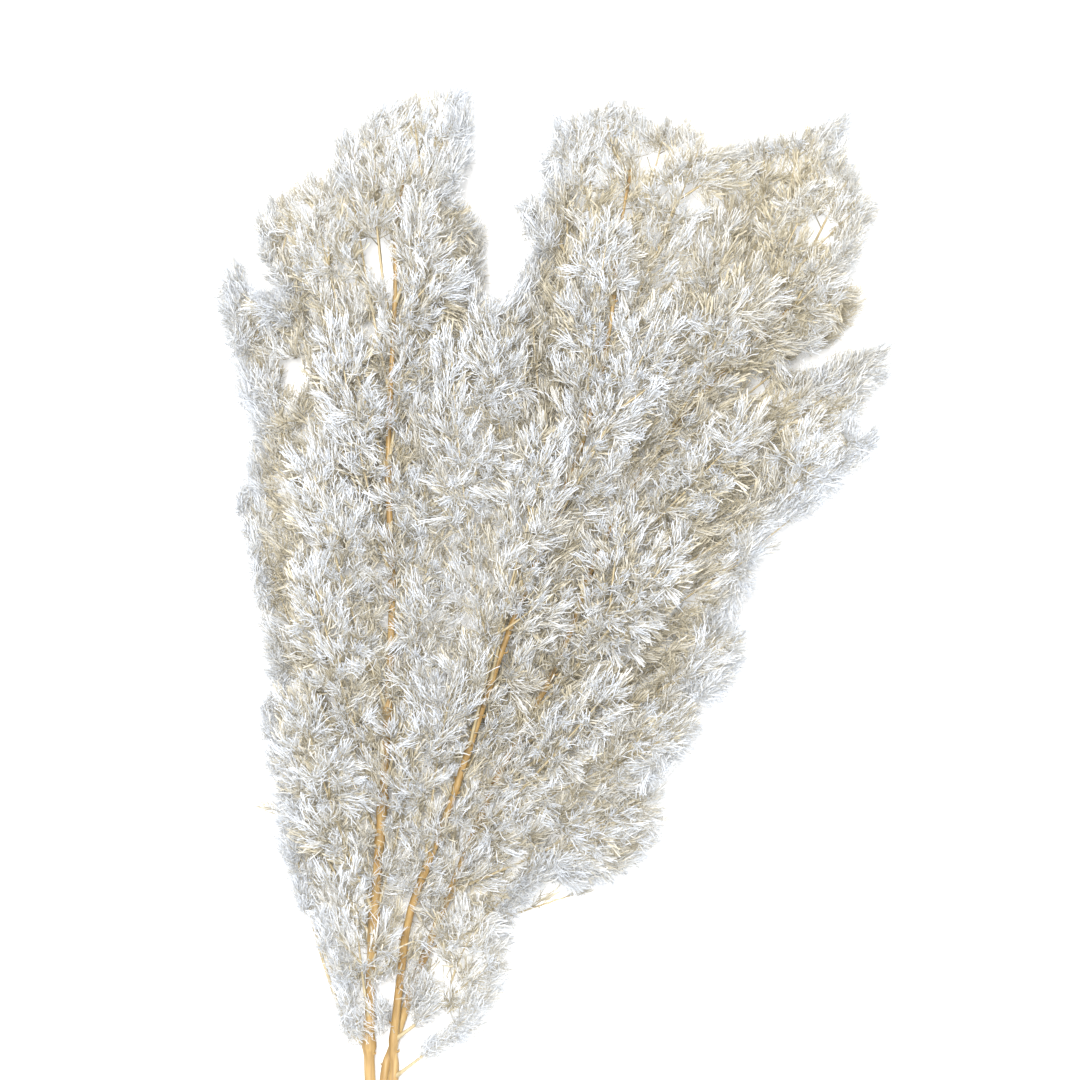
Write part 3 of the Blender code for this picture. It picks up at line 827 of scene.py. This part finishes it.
class Arm:
    """One arm of a spray: its axis from the fork to the tip, and the places of its tufts."""

    def __init__(self, start: Array, heading: Array, tip: Array, bow: float,
                 bare_share: float) -> None:
        """Lays out the arm.

        Args:
            start: where it forks off.
            heading: the direction of what it forks from.
            tip: where it ends.
            bow: how far its middle stands out from a straight line.
            bare_share: the share of it that has no tufts.
        """
        out = tip - start
        out = unit(out - (out @ heading) * heading)
        middle = (start + tip) / 2 + bow * out
        steps = max(2, round(float(np.linalg.norm(tip - start)) / ARM_STEP))
        t = np.linspace(0, 1, steps + 1)[:, None]
        self.points = (1 - t) ** 2 * start + 2 * t * (1 - t) * middle + t**2 * tip
        self.points[:, 2] = self.points[:, 2].clip(PRESSED_HEIGHT)
        self.reach = arc_lengths(self.points)[-1]
        self.length = self.reach - LAST_TUFT
        self.bare = bare_share * self.length

    def fork(self, tip: Array) -> Arm:
        """Forks a side arm off this one.

        Args:
            tip: where the side arm ends.

        Returns:
            The side arm.
        """
        distances = np.arange(0, self.reach, FORK_SEARCH)
        away = [float(np.linalg.norm(point_at(self.points, d)[0] - tip)) for d in distances]
        back = max(FORK_BACK * min(away), LEAST_FORK_BACK)
        distance = max(distances[int(np.argmin(away))] - back, self.bare + FORK_CLEAR)
        start, heading = point_at(self.points, distance)
        bow = SIDE_BOW * float(np.linalg.norm(tip - start))
        return Arm(start, heading, tip, bow, SIDE_BARE_SHARE)

    def tufts(self, draw: random.Random) -> list[tuple[Array, Array]]:
        """The tufts that the solids may have on the arm.

        Args:
            draw: what their sizes are drawn from.

        Returns:
            The root and the end of each tuft, the one that ends the arm last.
        """
        span = self.length - self.bare
        count = max(LEAST_TUFTS, round(span / TUFT_SPACING))
        phase = draw.uniform(0, 360)
        made = []
        for k in range(count):
            share = (k + TUFT_START) / count
            root, ahead = point_at(self.points, self.bare + share * span)
            angle = float(np.interp(share, TUFT_SHARES, TUFT_ANGLES))
            way = around(ahead, angle, phase + k * GOLDEN_ANGLE)
            size = np.interp(share, TUFT_SHARES, TUFT_LENGTHS) * draw.uniform(*TUFT_SIZES)
            end = root + size * way
            end[2] = max(end[2], PRESSED_HEIGHT)
            made.append((root, end))
        made.append((point_at(self.points, self.length - 2)[0], self.points[-1]))
        built = made[BUILT_EVERY // 2 : -3 : BUILT_EVERY] + made[-1:]
        for _ in built:
            draw.uniform(0, 360)
        return built


@dataclass(frozen=True)
class Seat:
    """Where one brush stands."""

    place: Array
    way: Array
    depth: float  # below the top of the foliage, or in from its outline
    rise: float  # above its underside
    # cream to white, with the painted shade of its depth and its own tone
    tint: float


@dataclass
class Spray:
    """One spray of needles: its arms, and the twigs and brushes that grow round them."""

    name: str
    route: Array
    height: float
    bow: float
    tips: Sequence[tuple[float, float, float]]
    arm_radii: tuple[float, float] = (1.0, 0.45)
    cream_below: float = 45.0
    twigs: list[tuple[Array, float]] = field(default_factory=list)
    seats: list[Seat] = field(default_factory=list)

    def __post_init__(self) -> None:
        """Lays out the arms."""
        tips = [np.array(tip, float) for tip in self.tips]
        foot = min(int(np.abs(self.route[:, 1] - self.height).argmin()), len(self.route) - 2)
        heading = unit(self.route[foot + 1] - self.route[foot])
        share = float(np.interp(self.height, *BARE_SHARES))
        first = Arm(self.route[foot], heading, tips[0], self.bow, share)
        self.arms = [first, *(first.fork(tip) for tip in tips[1:])]
        self.slot = Slot.CREAM if tips[0][2] < self.cream_below else Slot.WHITE

    def stalk(self) -> Array:
        """The axis of the bare wood that the spray stands on."""
        first = self.arms[0]
        return stretch(first.points, 0, first.bare + 1)

    def add_rods(self, draft: Draft) -> None:
        """Adds the arms' own wood.

        Args:
            draft: the piece's mesh.
        """
        for k, arm in enumerate(self.arms):
            axis = stretch(arm.points, arm.bare if k == 0 else 0, arm.length + 4)
            radii = np.linspace(*self.arm_radii, len(axis))
            draft.add(*tube(axis, radii, 5), finish=1)

    def build(self, chance: np.random.Generator,
              materials: Sequence[bpy.types.Material]) -> bpy.types.Object:
        """Makes the spray's piece.

        Args:
            chance: what its needles are drawn from.
            materials: the needles' and the twigs' materials.

        Returns:
            The piece.
        """
        draft = Draft()
        self.add_rods(draft)
        for axis, radius in self.twigs:
            points, triangles, chart = tube(axis, np.linspace(radius, 0.7 * radius, len(axis)), 3)
            draft.add(points, triangles, np.full_like(chart, TWIG_TINT))
        # The plume's painted shade, and a chance tone of its own.
        shift = PLUME_SHADE_TINTS.get(self.name, 0) + PLUME_STRAY * float(chance.normal())
        full = [seat for seat in self.seats if seat.depth < FULL_DEPTH]
        rest = [seat for seat in self.seats if seat.depth >= FULL_DEPTH]
        under = [seat for seat in rest if seat.rise < UNDER_RISE]
        inner = [seat for seat in rest if seat.rise >= UNDER_RISE]
        for seats, brush in ((full, FULL_BRUSH), (under, UNDER_BRUSH), (inner, INNER_BRUSH)):
            if seats:
                tints = (np.array([seat.tint for seat in seats]) + shift
                         + chance.normal(0, BRUSH_STRAY, len(seats)))
                places = np.array([seat.place for seat in seats])
                sizes = chance.uniform(*BRUSH_SIZES, len(seats))
                sizes *= np.interp(places[:, 1], *FOOT_SIZES)
                draft.add(*brush.grow(places, np.array([seat.way for seat in seats]), sizes,
                                      tints, chance))
        return draft.piece(self.name + "_needles", materials)


@dataclass
class Foliage:
    """What grows round the arms: twigs to evenly spread places, and brushes at their ends."""

    sprays: Sequence[Spray]
    windows: Windows
    chance: np.random.Generator
    tries: int = 120000  # chance places
    top_share: float = 0.6  # of the places tried, the ones in the top layer alone
    top_layer: float = 16.0
    step: float = 5.0  # between the places on an arm that twigs may grow from
    grid: float = 4.0  # of the places where the foliage's top and underside are worked out
    longest: float = 45.0  # a twig that reaches for the outline
    spare: float = 7.0  # the foliage's half height where only such twigs reach
    ridge_cells: int = 5  # how far the ridges round a place are looked for
    valley_shade_share: float = 0.35  # of a valley's depth, which counts as depth in the tints: painted shade between ridges
    bare: float = 0.35  # the share of a bare stalk that none does
    stem_run: float = 60.0  # of the stem past a spray's foot, which carries shoots too
    stem_lift: float = 6.0
    stem_reach: float = 22.0
    shares: tuple[float, ...] = (0.0, 0.15, 0.5, 0.85, 1.0)  # of an arm's length
    reaches: tuple[float, ...] = (16.0, 25.0, 27.0, 21.0, 13.0)  # how far foliage goes there
    narrowing: tuple[tuple[float, ...], tuple[float, ...]] = ((30, 110), (1.15, 0.75))
    above: float = 0.75  # how much less it goes above and below than sideways
    below: float = 0.85
    top_spacing: tuple[tuple[float, ...], tuple[float, ...]] = ((3, 13, 30), (9.4, 10.2, 12.8))
    low_spacing: tuple[tuple[float, ...], tuple[float, ...]] = ((3, 14), (10.5, 12.8))
    edge_spacing: tuple[tuple[float, ...], tuple[float, ...]] = ((4, 14), (0.7, 1.0))
    foot_spacing: tuple[tuple[float, ...], tuple[float, ...]] = ((-200, -150), (1.25, 1.0))
    overhang: float = 7.5  # of a brush ahead of its place
    slack: float = 2.5  # how far past the outline a place may lie
    fork_cosine: float = 0.77
    straight: float = 0.7  # what a twig's end follows: its own run, the twig it leaves, its arm
    follow: float = 0.4
    forward: float = 0.6
    lifts: tuple[float, float] = (-0.2, 0.8)
    stray: float = 0.35
    arm_twig: float = 0.5
    thinning: float = 0.8
    least_twig: float = 0.24
    foot_run: float = 8.0  # of the stem below a spray's foot, which carries shoots too
    last_place: float = 5.0  # that twigs grow from, back from an arm's tip
    margin: float = 10.0  # of the grid round the outline
    thinnest: float = 4.0  # foliage that places are looked for in
    look_ahead: float = 6.0  # of a place, where no gap may be either
    turn_cost: float = 2.0  # how much further a twig comes from where it needn't turn
    bend_share: float = 0.45  # of a twig's length, from its end to where it bends
    needle_reach: float = 11.0  # past a brush's place

    def __post_init__(self) -> None:
        """Lists the places on the arms."""
        rows = []
        for owner, spray in enumerate(self.sprays):
            along = spray.route[(spray.route[:, 1] > spray.height - self.foot_run)
                                & (spray.route[:, 1] < spray.height + self.stem_run)]
            for place, ahead in zip(along, unit(np.gradient(along, axis=0))):
                rows.append((*(place + (0, 0, self.stem_lift)), *ahead, self.stem_reach, owner))
            for arm in spray.arms:
                last = arm.reach - self.last_place
                for distance in np.arange(self.bare * arm.bare, last, self.step):
                    place, ahead = point_at(arm.points, distance)
                    reach = np.interp(distance / arm.reach, self.shares, self.reaches)
                    reach *= np.interp(place[2], *self.narrowing)
                    rows.append((*place, *ahead, reach, owner))
        table = np.array(rows)
        self.points, self.ways, self.reach = table[:, :3], table[:, 3:6], table[:, 6]
        self.owners = table[:, 7].astype(int)
        self.twig = np.full(len(table), self.arm_twig)
        self.leads = self.ways
        self.raise_hull()
        self.raise_ridges()

    def raise_hull(self) -> None:
        """Works out, over a grid, how high and low the foliage goes and which way it grows."""
        self.corner = np.array(OUTLINE).min(0) - self.margin
        size = np.array(OUTLINE).max(0) + self.margin - self.corner
        rows, columns = (size / self.grid).astype(int) + 1
        self.top, self.low = np.zeros((rows, columns)), np.zeros((rows, columns))
        self.run = np.zeros((rows, columns, 3))
        height = self.points[:, 2]
        for row in range(rows):
            places = self.corner + self.grid * np.stack(
                np.broadcast_arrays(row, np.arange(columns)), 1)
            apart = np.linalg.norm(places[:, None] - self.points[None, :, :2], axis=2)
            near = apart < self.reach
            dome = np.sqrt((self.reach**2 - apart**2).clip(0))
            tops = np.where(near, height + self.above * dome, 0)
            self.top[row] = tops.max(1).clip(0, SEAT_HEIGHTS[1])
            lows = np.where(near, height - self.below * dome, HIGHEST).min(1)
            self.low[row] = np.minimum(lows.clip(SEAT_HEIGHTS[0]), self.top[row])
            self.run[row] = self.ways[tops.argmax(1)]
            bare = inside(np.array(OUTLINE), places) & (apart.min(1) < self.longest)
            bare &= self.top[row] - self.low[row] < self.thinnest
            nearest = apart.argmin(1)
            self.top[row, bare] = height[nearest[bare]] + self.spare
            self.low[row, bare] = (height[nearest[bare]] - self.spare).clip(SEAT_HEIGHTS[0])
            self.run[row, bare] = self.ways[nearest[bare]]

    def raise_ridges(self) -> None:
        """Works out the height of the ridges that stand round each place of the grid, for the
        painted shade in the hollow between them.
        """
        reach = self.ridge_cells
        padded = np.pad(self.top, reach)
        rows, columns = self.top.shape
        self.ridge = np.max([padded[i:i + rows, j:j + columns]
                             for i in range(2 * reach + 1) for j in range(2 * reach + 1)], axis=0)

    def cells(self, places: Array) -> tuple[Array, Array]:
        """Finds the part of the grid that places stand over.

        Args:
            places: the places, one row each.

        Returns:
            The grid's row and column under each.
        """
        cell = ((places[:, :2] - self.corner) / self.grid).round().astype(int)
        return (cell[:, 0].clip(0, self.top.shape[0] - 1),
                cell[:, 1].clip(0, self.top.shape[1] - 1))

    def scatter(self) -> tuple[Array, Array, Array]:
        """Tries chance places in the foliage.

        Returns:
            Those that fit in, and how far they lie from its top and from its underside.
        """
        chance = self.chance
        corners = np.array(OUTLINE)
        places = chance.uniform((*corners.min(0) - 5, 0), (*corners.max(0) + 5, 1),
                                (self.tries, 3))
        cells = self.cells(places)
        top, low, ways = self.top[cells], self.low[cells], self.run[cells]
        thick = top - low
        layer = np.where(chance.uniform(size=len(places)) < self.top_share,
                         np.minimum(self.top_layer, thick), thick)
        depth = places[:, 2] * layer
        places[:, 2] = top - depth
        fits = (thick > self.thinnest) & ~self.windows.cover(places)
        fits &= ~self.windows.cover(places + self.look_ahead * ways)
        fits &= self.within(places) & self.within(places + self.overhang * ways)
        return places[fits], depth[fits], (places[:, 2] - low)[fits]

    def within(self, places: Array) -> Array:
        """Which places seem to lie in the outline or just past it, seen from the camera.

        Args:
            places: the places, one row each.

        Returns:
            True for each of them that does.
        """
        outline = np.array(OUTLINE, float)
        nearness = OUTLINE_RANGE / (OUTLINE_RANGE + OUTLINE_HEIGHT - places[:, 2:])
        seen = OUTLINE_CENTRE + nearness * (places[:, :2] - OUTLINE_CENTRE)
        return inside(outline, seen) | (edge_distance(outline, seen) < self.slack)

    def thin(self, fixed: Array, places: Array, depth: Array, rise: Array) -> Array:
        """Drops the places that stand too near others.

        Args:
            fixed: places that stay.
            places: the places to choose from.
            depth: how far below the top they lie.
            rise: how far above the underside they lie.

        Returns:
            The ones that stay besides the fixed ones.
        """
        room = np.minimum(np.interp(depth, *self.top_spacing), np.interp(rise, *self.low_spacing))
        room *= np.interp(edge_distance(np.array(OUTLINE, float), places), *self.edge_spacing)
        room *= np.interp(places[:, 1], *self.foot_spacing)
        kept = np.vstack([fixed, np.zeros_like(places)])
        count = len(fixed)
        for place, apart in zip(places, room):
            if ((kept[:count] - place) ** 2).sum(1).min() > apart**2:
                kept[count] = place
                count += 1
        return kept[len(fixed):count]

    def stand_on(self, points: Sequence[Array], ways: Sequence[Array], lead: Array, owner: int,
                 twig: float) -> None:
        """Lets further twigs grow from a new one.

        Args:
            points: some places on it.
            ways: its direction at each.
            lead: the direction of the arm that it comes from.
            owner: the number of its spray.
            twig: how thick it is.
        """
        count = len(points)
        self.points = np.vstack([self.points, points])
        self.ways = np.vstack([self.ways, ways])
        self.leads = np.vstack([self.leads, [lead] * count])
        self.owners = np.concatenate([self.owners, [owner] * count])
        self.twig = np.concatenate([self.twig, [twig] * count])

    def fork(self, place: Array) -> tuple[int, Array, Array]:
        """Grows a twig to a place from where it comes most naturally.

        Args:
            place: where it ends.

        Returns:
            The number of its spray, its axis and the direction of its end.
        """
        away = place - self.points
        apart = np.linalg.norm(away, axis=1) + 0.01
        cosine = (away * self.ways).sum(1) / apart
        turned = 1 + self.turn_cost * (cosine - self.fork_cosine) ** 2
        best = int((apart * turned).argmin())
        straight = away[best] / apart[best]
        lead = self.leads[best]
        lift = np.array([0, 0, self.chance.uniform(*self.lifts)])
        end_way = unit(self.straight * straight + self.follow * self.ways[best]
                       + self.forward * lead + lift + self.chance.normal(0, self.stray, 3))
        bend = place - self.bend_share * apart[best] * end_way
        start = self.points[best]
        middle = 0.25 * start + 0.5 * bend + 0.25 * place
        twig = max(self.twig[best] * self.thinning, self.least_twig)
        owner = int(self.owners[best])
        self.stand_on([middle, place], [straight, end_way], lead, owner, twig)
        self.sprays[owner].twigs.append((np.array([start, middle, place]), twig))
        return owner, place, end_way

    def built_tufts(self, draw: random.Random) -> list[tuple[int, Array, Array, Array]]:
        """The tufts that the solids have.

        Args:
            draw: the draw that they come from.

        Returns:
            The number of each one's spray, its root, its brush's place and its direction.
        """
        made = []
        for owner, spray in enumerate(self.sprays):
            for arm in spray.arms:
                for root, end in arm.tufts(draw):
                    way = unit(end - root)
                    made.append((owner, root, end - self.needle_reach * way, way))
        return made

    def grow(self, draw: random.Random) -> None:
        """Gives every spray its twigs and brushes.

        Args:
            draw: the draw that the solids' tufts come from.
        """
        tufts = self.built_tufts(draw)
        chosen = self.thin(np.array([place for _, _, place, _ in tufts]), *self.scatter())
        nearest = [((self.points - place) ** 2).sum(1).min() for place in chosen]
        grown = []
        for owner, root, place, way in tufts:
            middle = (root + place) / 2
            self.stand_on([middle, place], [way, way], way, owner, self.arm_twig)
            self.sprays[owner].twigs.append((np.array([root, middle, place]), self.arm_twig))
            grown.append((owner, place, way))
        grown += [self.fork(chosen[k]) for k in np.argsort(nearest)]
        self.seat_brushes(grown)

    def seat_brushes(self, grown: Sequence[tuple[int, Array, Array]]) -> None:
        """Gives each spray the brushes at the ends of its twigs.

        Args:
            grown: the number of each twig's spray, its end and the direction of its end.
        """
        ends = np.array([place for _, place, _ in grown])
        cells = self.cells(ends)
        edge = EDGE_SLOPE * edge_distance(np.array(OUTLINE, float), ends)
        depths = np.minimum(self.top[cells] - ends[:, 2], edge)
        # Painted shade: brushes deep below the top, in a hollow between ridges or in from the
        # outline get creamer, darker tints; the patches add tone and painted shade.
        valley_shade = np.minimum(self.valley_shade_share * (self.ridge[cells] - self.top[cells]), edge)
        tints = np.interp(depths + valley_shade, *DEPTH_SHADE_TINTS) - np.interp(edge, *EDGE_SHADE_TINTS)
        for x, y, reach, shift in TINT_AND_SHADE_PATCHES:
            apart = np.hypot(ends[:, 0] - x, ends[:, 1] - y)
            tints += shift * np.exp(-((apart / reach) ** 2))
        rises, hidden = ends[:, 2] - self.low[cells], self.windows.cover(ends)
        for k, (owner, place, way) in enumerate(grown):
            if not hidden[k]:
                self.sprays[owner].seats.append(Seat(place, way, depths[k], rises[k], tints[k]))


@dataclass
class Windows:
    """The gaps in the foliage: the stretches that show a stem, and the holes right through."""

    routes: dict[str, Array]

    def cover(self, places: Array) -> Array:
        """Which things would close a gap.

        Args:
            places: where they are.

        Returns:
            True for each of them that would.
        """
        hidden = np.zeros(len(places), bool)
        for name, route in self.routes.items():
            x, z = (np.interp(places[:, 1], route[:, 1], route[:, i]) for i in (0, 2))
            over = (np.abs(places[:, 0] - x) < WINDOW_REACH) & (places[:, 2] > z - 2)
            for low, high in WINDOWS[name]:
                hidden |= over & (places[:, 1] > low) & (places[:, 1] < high)
        for x, y, size in HOLES:
            apart = np.hypot(places[:, 0] - x, places[:, 1] - y)
            hidden |= apart < size + HOLE_CLEAR
        return hidden


@dataclass
class Stem:
    """One woody stem with the bare stalks that fork from it."""

    name: str
    points: Sequence[tuple[float, float, float]]
    radii: tuple[float, float]
    sides: int = 14
    step: float = 3.0
    swelling: float = 0.22
    swelling_length: float = 4.0
    stalk_radii: tuple[float, float] = (1.3, 0.85)
    collar: float = 0.7  # how much thicker a stalk is at its foot
    collar_length: float = 3.5
    waviness: float = 0.022
    waves: tuple[tuple[int, float], ...] = ((2, 37.0), (3, 24.0), (5, 60.0))  # order and pitch
    spur_spacing: float = 13.0
    spur_gaps: tuple[float, float] = (0.5, 1.6)  # shares of the spacing
    spur_length: tuple[float, float] = (2.2, 4.2)
    spur_ends: tuple[float, float] = (55.0, 30.0)  # how far from the stem's ends they keep
    spur_stray: float = 15.0  # in degrees

    def add_wood(self, draft: Draft, nodes: Array, chance: np.random.Generator) -> Array:
        """Adds the stem itself.

        Args:
            draft: the piece's mesh.
            nodes: the distances along the stem where stalks leave it.
            chance: what its unevenness is drawn from.

        Returns:
            The stem's axis.
        """
        axis = smooth_route(self.points, self.step)
        along = arc_lengths(axis)
        radius = np.interp(along, (0, along[-1]), self.radii)
        for node in nodes:
            radius *= 1 + self.swelling * np.exp(-((along - node) / self.swelling_length) ** 2)
        turns = 2 * np.pi * np.arange(self.sides) / self.sides
        waves = sum(
            self.waviness * np.sin(order * turns[None] + along[:, None] / pitch + phase)
            for (order, pitch), phase in zip(self.waves, chance.uniform(0, 6.28, 3)))
        radii = radius[:, None] * (1 + waves)
        draft.add(*tube(axis, radii, self.sides))
        return axis

    def add_stalk(self, draft: Draft, points: Array) -> None:
        """Adds one bare stalk, with the collar that it stands in.

        Args:
            draft: the piece's mesh.
            points: the stalk's axis.
        """
        along = arc_lengths(points)
        radii = np.interp(along, (0, along[-1]), self.stalk_radii)
        radii *= 1 + self.collar * np.exp(-(along / self.collar_length) ** 2)
        draft.add(*tube(points, radii, 8), finish=1)

    def add_spurs(self, draft: Draft, axis: Array, chance: np.random.Generator) -> None:
        """Adds the small dry scales that stand on the stem.

        Args:
            draft: the piece's mesh.
            axis: the stem's axis.
            chance: what their places are drawn from.
        """
        along = arc_lengths(axis)
        place, turn = self.spur_ends[0], 0.0
        while place < along[-1] - self.spur_ends[1]:
            at, ahead = point_at(axis, place)
            radius = float(np.interp(place, (0, along[-1]), self.radii))
            turn += GOLDEN_ANGLE + float(chance.normal(0, self.spur_stray))
            out = around(ahead, 90, turn)
            length = float(chance.uniform(*self.spur_length))
            root = at + 0.55 * radius * out
            middle = at + (radius + 0.4 * length) * out + 0.25 * length * ahead
            tip = at + (radius + 0.55 * length) * out + 0.8 * length * ahead
            draft.add(*tube(np.array([root, middle, tip]), np.array([0.9, 0.5, 0.12]), 5))
            place += self.spur_spacing * float(chance.uniform(*self.spur_gaps))

    def build(self, stalks: Sequence[Array], chance: np.random.Generator,
              materials: Sequence[bpy.types.Material]) -> bpy.types.Object:
        """Makes the stem's piece.

        Args:
            stalks: the axis of each bare stalk.
            chance: what its unevenness is drawn from.
            materials: the wood's and the stalks' materials.

        Returns:
            The piece.
        """
        draft = Draft()
        rough = smooth_route(self.points, self.step)
        along = arc_lengths(rough)
        nodes = np.array([along[np.linalg.norm(rough - stalk[0], axis=1).argmin()]
                          for stalk in stalks])
        axis = self.add_wood(draft, nodes, chance)
        for stalk in stalks:
            self.add_stalk(draft, stalk)
        self.add_spurs(draft, axis, chance)
        return draft.piece(f"stem_{self.name}_wood", materials)


@dataclass
class Band:
    """The rubber band, wound round the three stems."""

    routes: dict[str, Array]
    y: float = -302.0
    turns: int = 4
    pitch: float = 1.75
    radius: float = 0.8
    gap: float = 0.3
    steps: int = 48  # round each turn
    sample: float = 1.2  # between the cross-sections

    def outline(self, angle: float, y: float) -> tuple[float, float]:
        """The point of a taut loop round the stems.

        Args:
            angle: its direction from the middle.
            y: the loop's place along the stems.

        Returns:
            Its x and z.
        """
        across, up = math.cos(angle), math.sin(angle)
        discs = []
        for name, route in self.routes.items():
            x, z = (float(np.interp(y, route[:, 1], route[:, i])) for i in (0, 2))
            discs.append((x, z, STEM_RADII[name][0] + self.gap + self.radius))
        x, z, reach = max(discs, key=lambda disc: disc[0] * across + disc[1] * up + disc[2])
        return x + reach * across, max(z + reach * up, self.radius)

    def build(self, materials: Sequence[bpy.types.Material]) -> bpy.types.Object:
        """Makes the band's piece.

        Args:
            materials: the rubber alone.

        Returns:
            The piece.
        """
        points = []
        for i in range(self.turns * self.steps + 1):
            y = self.y + self.pitch * (i / self.steps - self.turns / 2)
            x, z = self.outline(2 * math.pi * i / self.steps - math.pi / 2, y)
            points.append((x, y, z))
        draft = Draft()
        axis = smooth_route(points, self.sample)
        draft.add(*tube(axis, np.full(len(axis), self.radius), 8))
        return draft.piece("rubber_band_wound", materials)


@dataclass
class Studio:
    """The floor, the lights and the camera that looks down on the bunch."""

    centre: tuple[float, float] = (-0.0116, 0.0688)
    framed: float = 0.6696  # the side of the square that the photo takes in, in metres
    middle_height: float = 0.06
    distance: float = 3.0
    sensor: float = 36.0
    floor_side: float = 12.0

    def camera(self) -> None:
        """Sets the camera above the bunch."""
        data = bpy.data.cameras.new("camera")
        data.sensor_width = self.sensor
        data.lens = self.sensor * self.distance / self.framed
        made = bpy.data.objects.new("camera", data)
        made.location = (*self.centre, self.middle_height + self.distance)
        bpy.context.scene.collection.objects.link(made)
        bpy.context.scene.camera = made

    def softbox(self, name: str, place: tuple[float, float, float], side: float, power: float,
                colour: tuple[float, float, float]) -> None:
        """Adds a square light aimed at the bunch.

        Args:
            name: the light's name.
            place: where it stands.
            side: its size.
            power: its strength in watts.
            colour: its colour.
        """
        data = bpy.data.lights.new(name, "AREA")
        data.size = side
        data.energy = power
        data.color = colour
        made = bpy.data.objects.new(name, data)
        made.location = place
        aim = Vector((*self.centre, self.middle_height)) - Vector(place)
        made.rotation_euler = aim.to_track_quat("-Z", "Y").to_euler()
        bpy.context.scene.collection.objects.link(made)

    def floor(self) -> None:
        """Lays the floor."""
        half = self.floor_side / 2
        mesh = bpy.data.meshes.new("floor")
        corners = [(-half, -half, 0), (half, -half, 0), (half, half, 0), (-half, half, 0)]
        mesh.from_pydata(corners, [], [(0, 1, 2, 3)])
        mesh.materials.append(FloorFinish().material())
        made = bpy.data.objects.new("floor", mesh)
        bpy.context.scene.collection.objects.link(made)

    def daylight(self) -> None:
        """Fills the room with soft light."""
        world = bpy.data.worlds.new("studio")
        world.use_nodes = True
        background = world.node_tree.nodes["Background"]
        background.inputs["Color"].default_value = (0.95, 0.97, 1.0, 1)
        background.inputs["Strength"].default_value = 1.2
        bpy.context.scene.world = world

    def build(self) -> None:
        """Sets up the whole studio."""
        self.floor()
        self.daylight()
        self.softbox("key", (-0.25, 0.3, 3.0), 0.6, 155, (1.0, 0.99, 0.97))
        self.softbox("fill", (1.4, -0.9, 2.0), 1.6, 14, (0.94, 0.97, 1.0))
        self.camera()
        settings = bpy.context.scene.view_settings
        settings.view_transform = "Standard"
        settings.look = "None"


def dress(piece: bpy.types.Object, node: str) -> None:
    """Ties a piece to the node it stands for, and reports it.

    Args:
        piece: the piece.
        node: the CAD node.
    """
    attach(piece, "root")
    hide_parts(node)
    logging.info("%s stands for %s, %d triangles", piece.name, node, len(piece.data.polygons))


def main() -> None:
    """Builds the bunch and the studio."""
    logging.basicConfig(level=logging.INFO, format="%(message)s")
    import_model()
    draw = random.Random(SEED)
    routes = {name: smooth_route(points, 6) for name, points in STEM_ROUTES.items()}
    wood = WoodFinish("golden_wood", (0.17, 0.095, 0.03), (0.31, 0.19, 0.065), (0.42, 0.295, 0.125))
    stalk = WoodFinish("pale_stalk", (0.30, 0.23, 0.115), (0.40, 0.325, 0.19), (0.47, 0.40, 0.26))
    wood_material, stalk_material = wood.material(), stalk.material()
    needle_material = NeedleFinish().material()
    sprays = {name: [Spray(f"spray_{name}_{k:02d}", routes[name], height, bow, tips)
                     for k, (height, bow, *tips) in enumerate(rows, 1)]
              for name, rows in SPRAYS.items()}
    everything = [spray for group in sprays.values() for spray in group]
    Foliage(everything, Windows(routes), np.random.default_rng([SEED, 3])).grow(draw)
    total = 0
    for number, (name, group) in enumerate(sprays.items()):
        chance = np.random.default_rng([SEED, number])
        stem = Stem(name, STEM_ROUTES[name], STEM_RADII[name])
        stalks = [spray.stalk() for spray in group]
        if name == "left":
            stalks.append(smooth_route(BARE_STALK, 5))
        made = stem.build(stalks, chance, (wood_material, stalk_material))
        dress(made, f"stem_{name}")
        total += len(made.data.polygons)
        for spray in group:
            made = spray.build(chance, (needle_material, stalk_material))
            dress(made, spray.name)
            total += len(made.data.polygons)
    band = Band(routes).build((RubberFinish().material(),))
    dress(band, "rubber_band")
    Studio().build()
    logging.info("%d triangles in all", total + len(band.data.polygons))


if __name__ == "__main__":
    main()
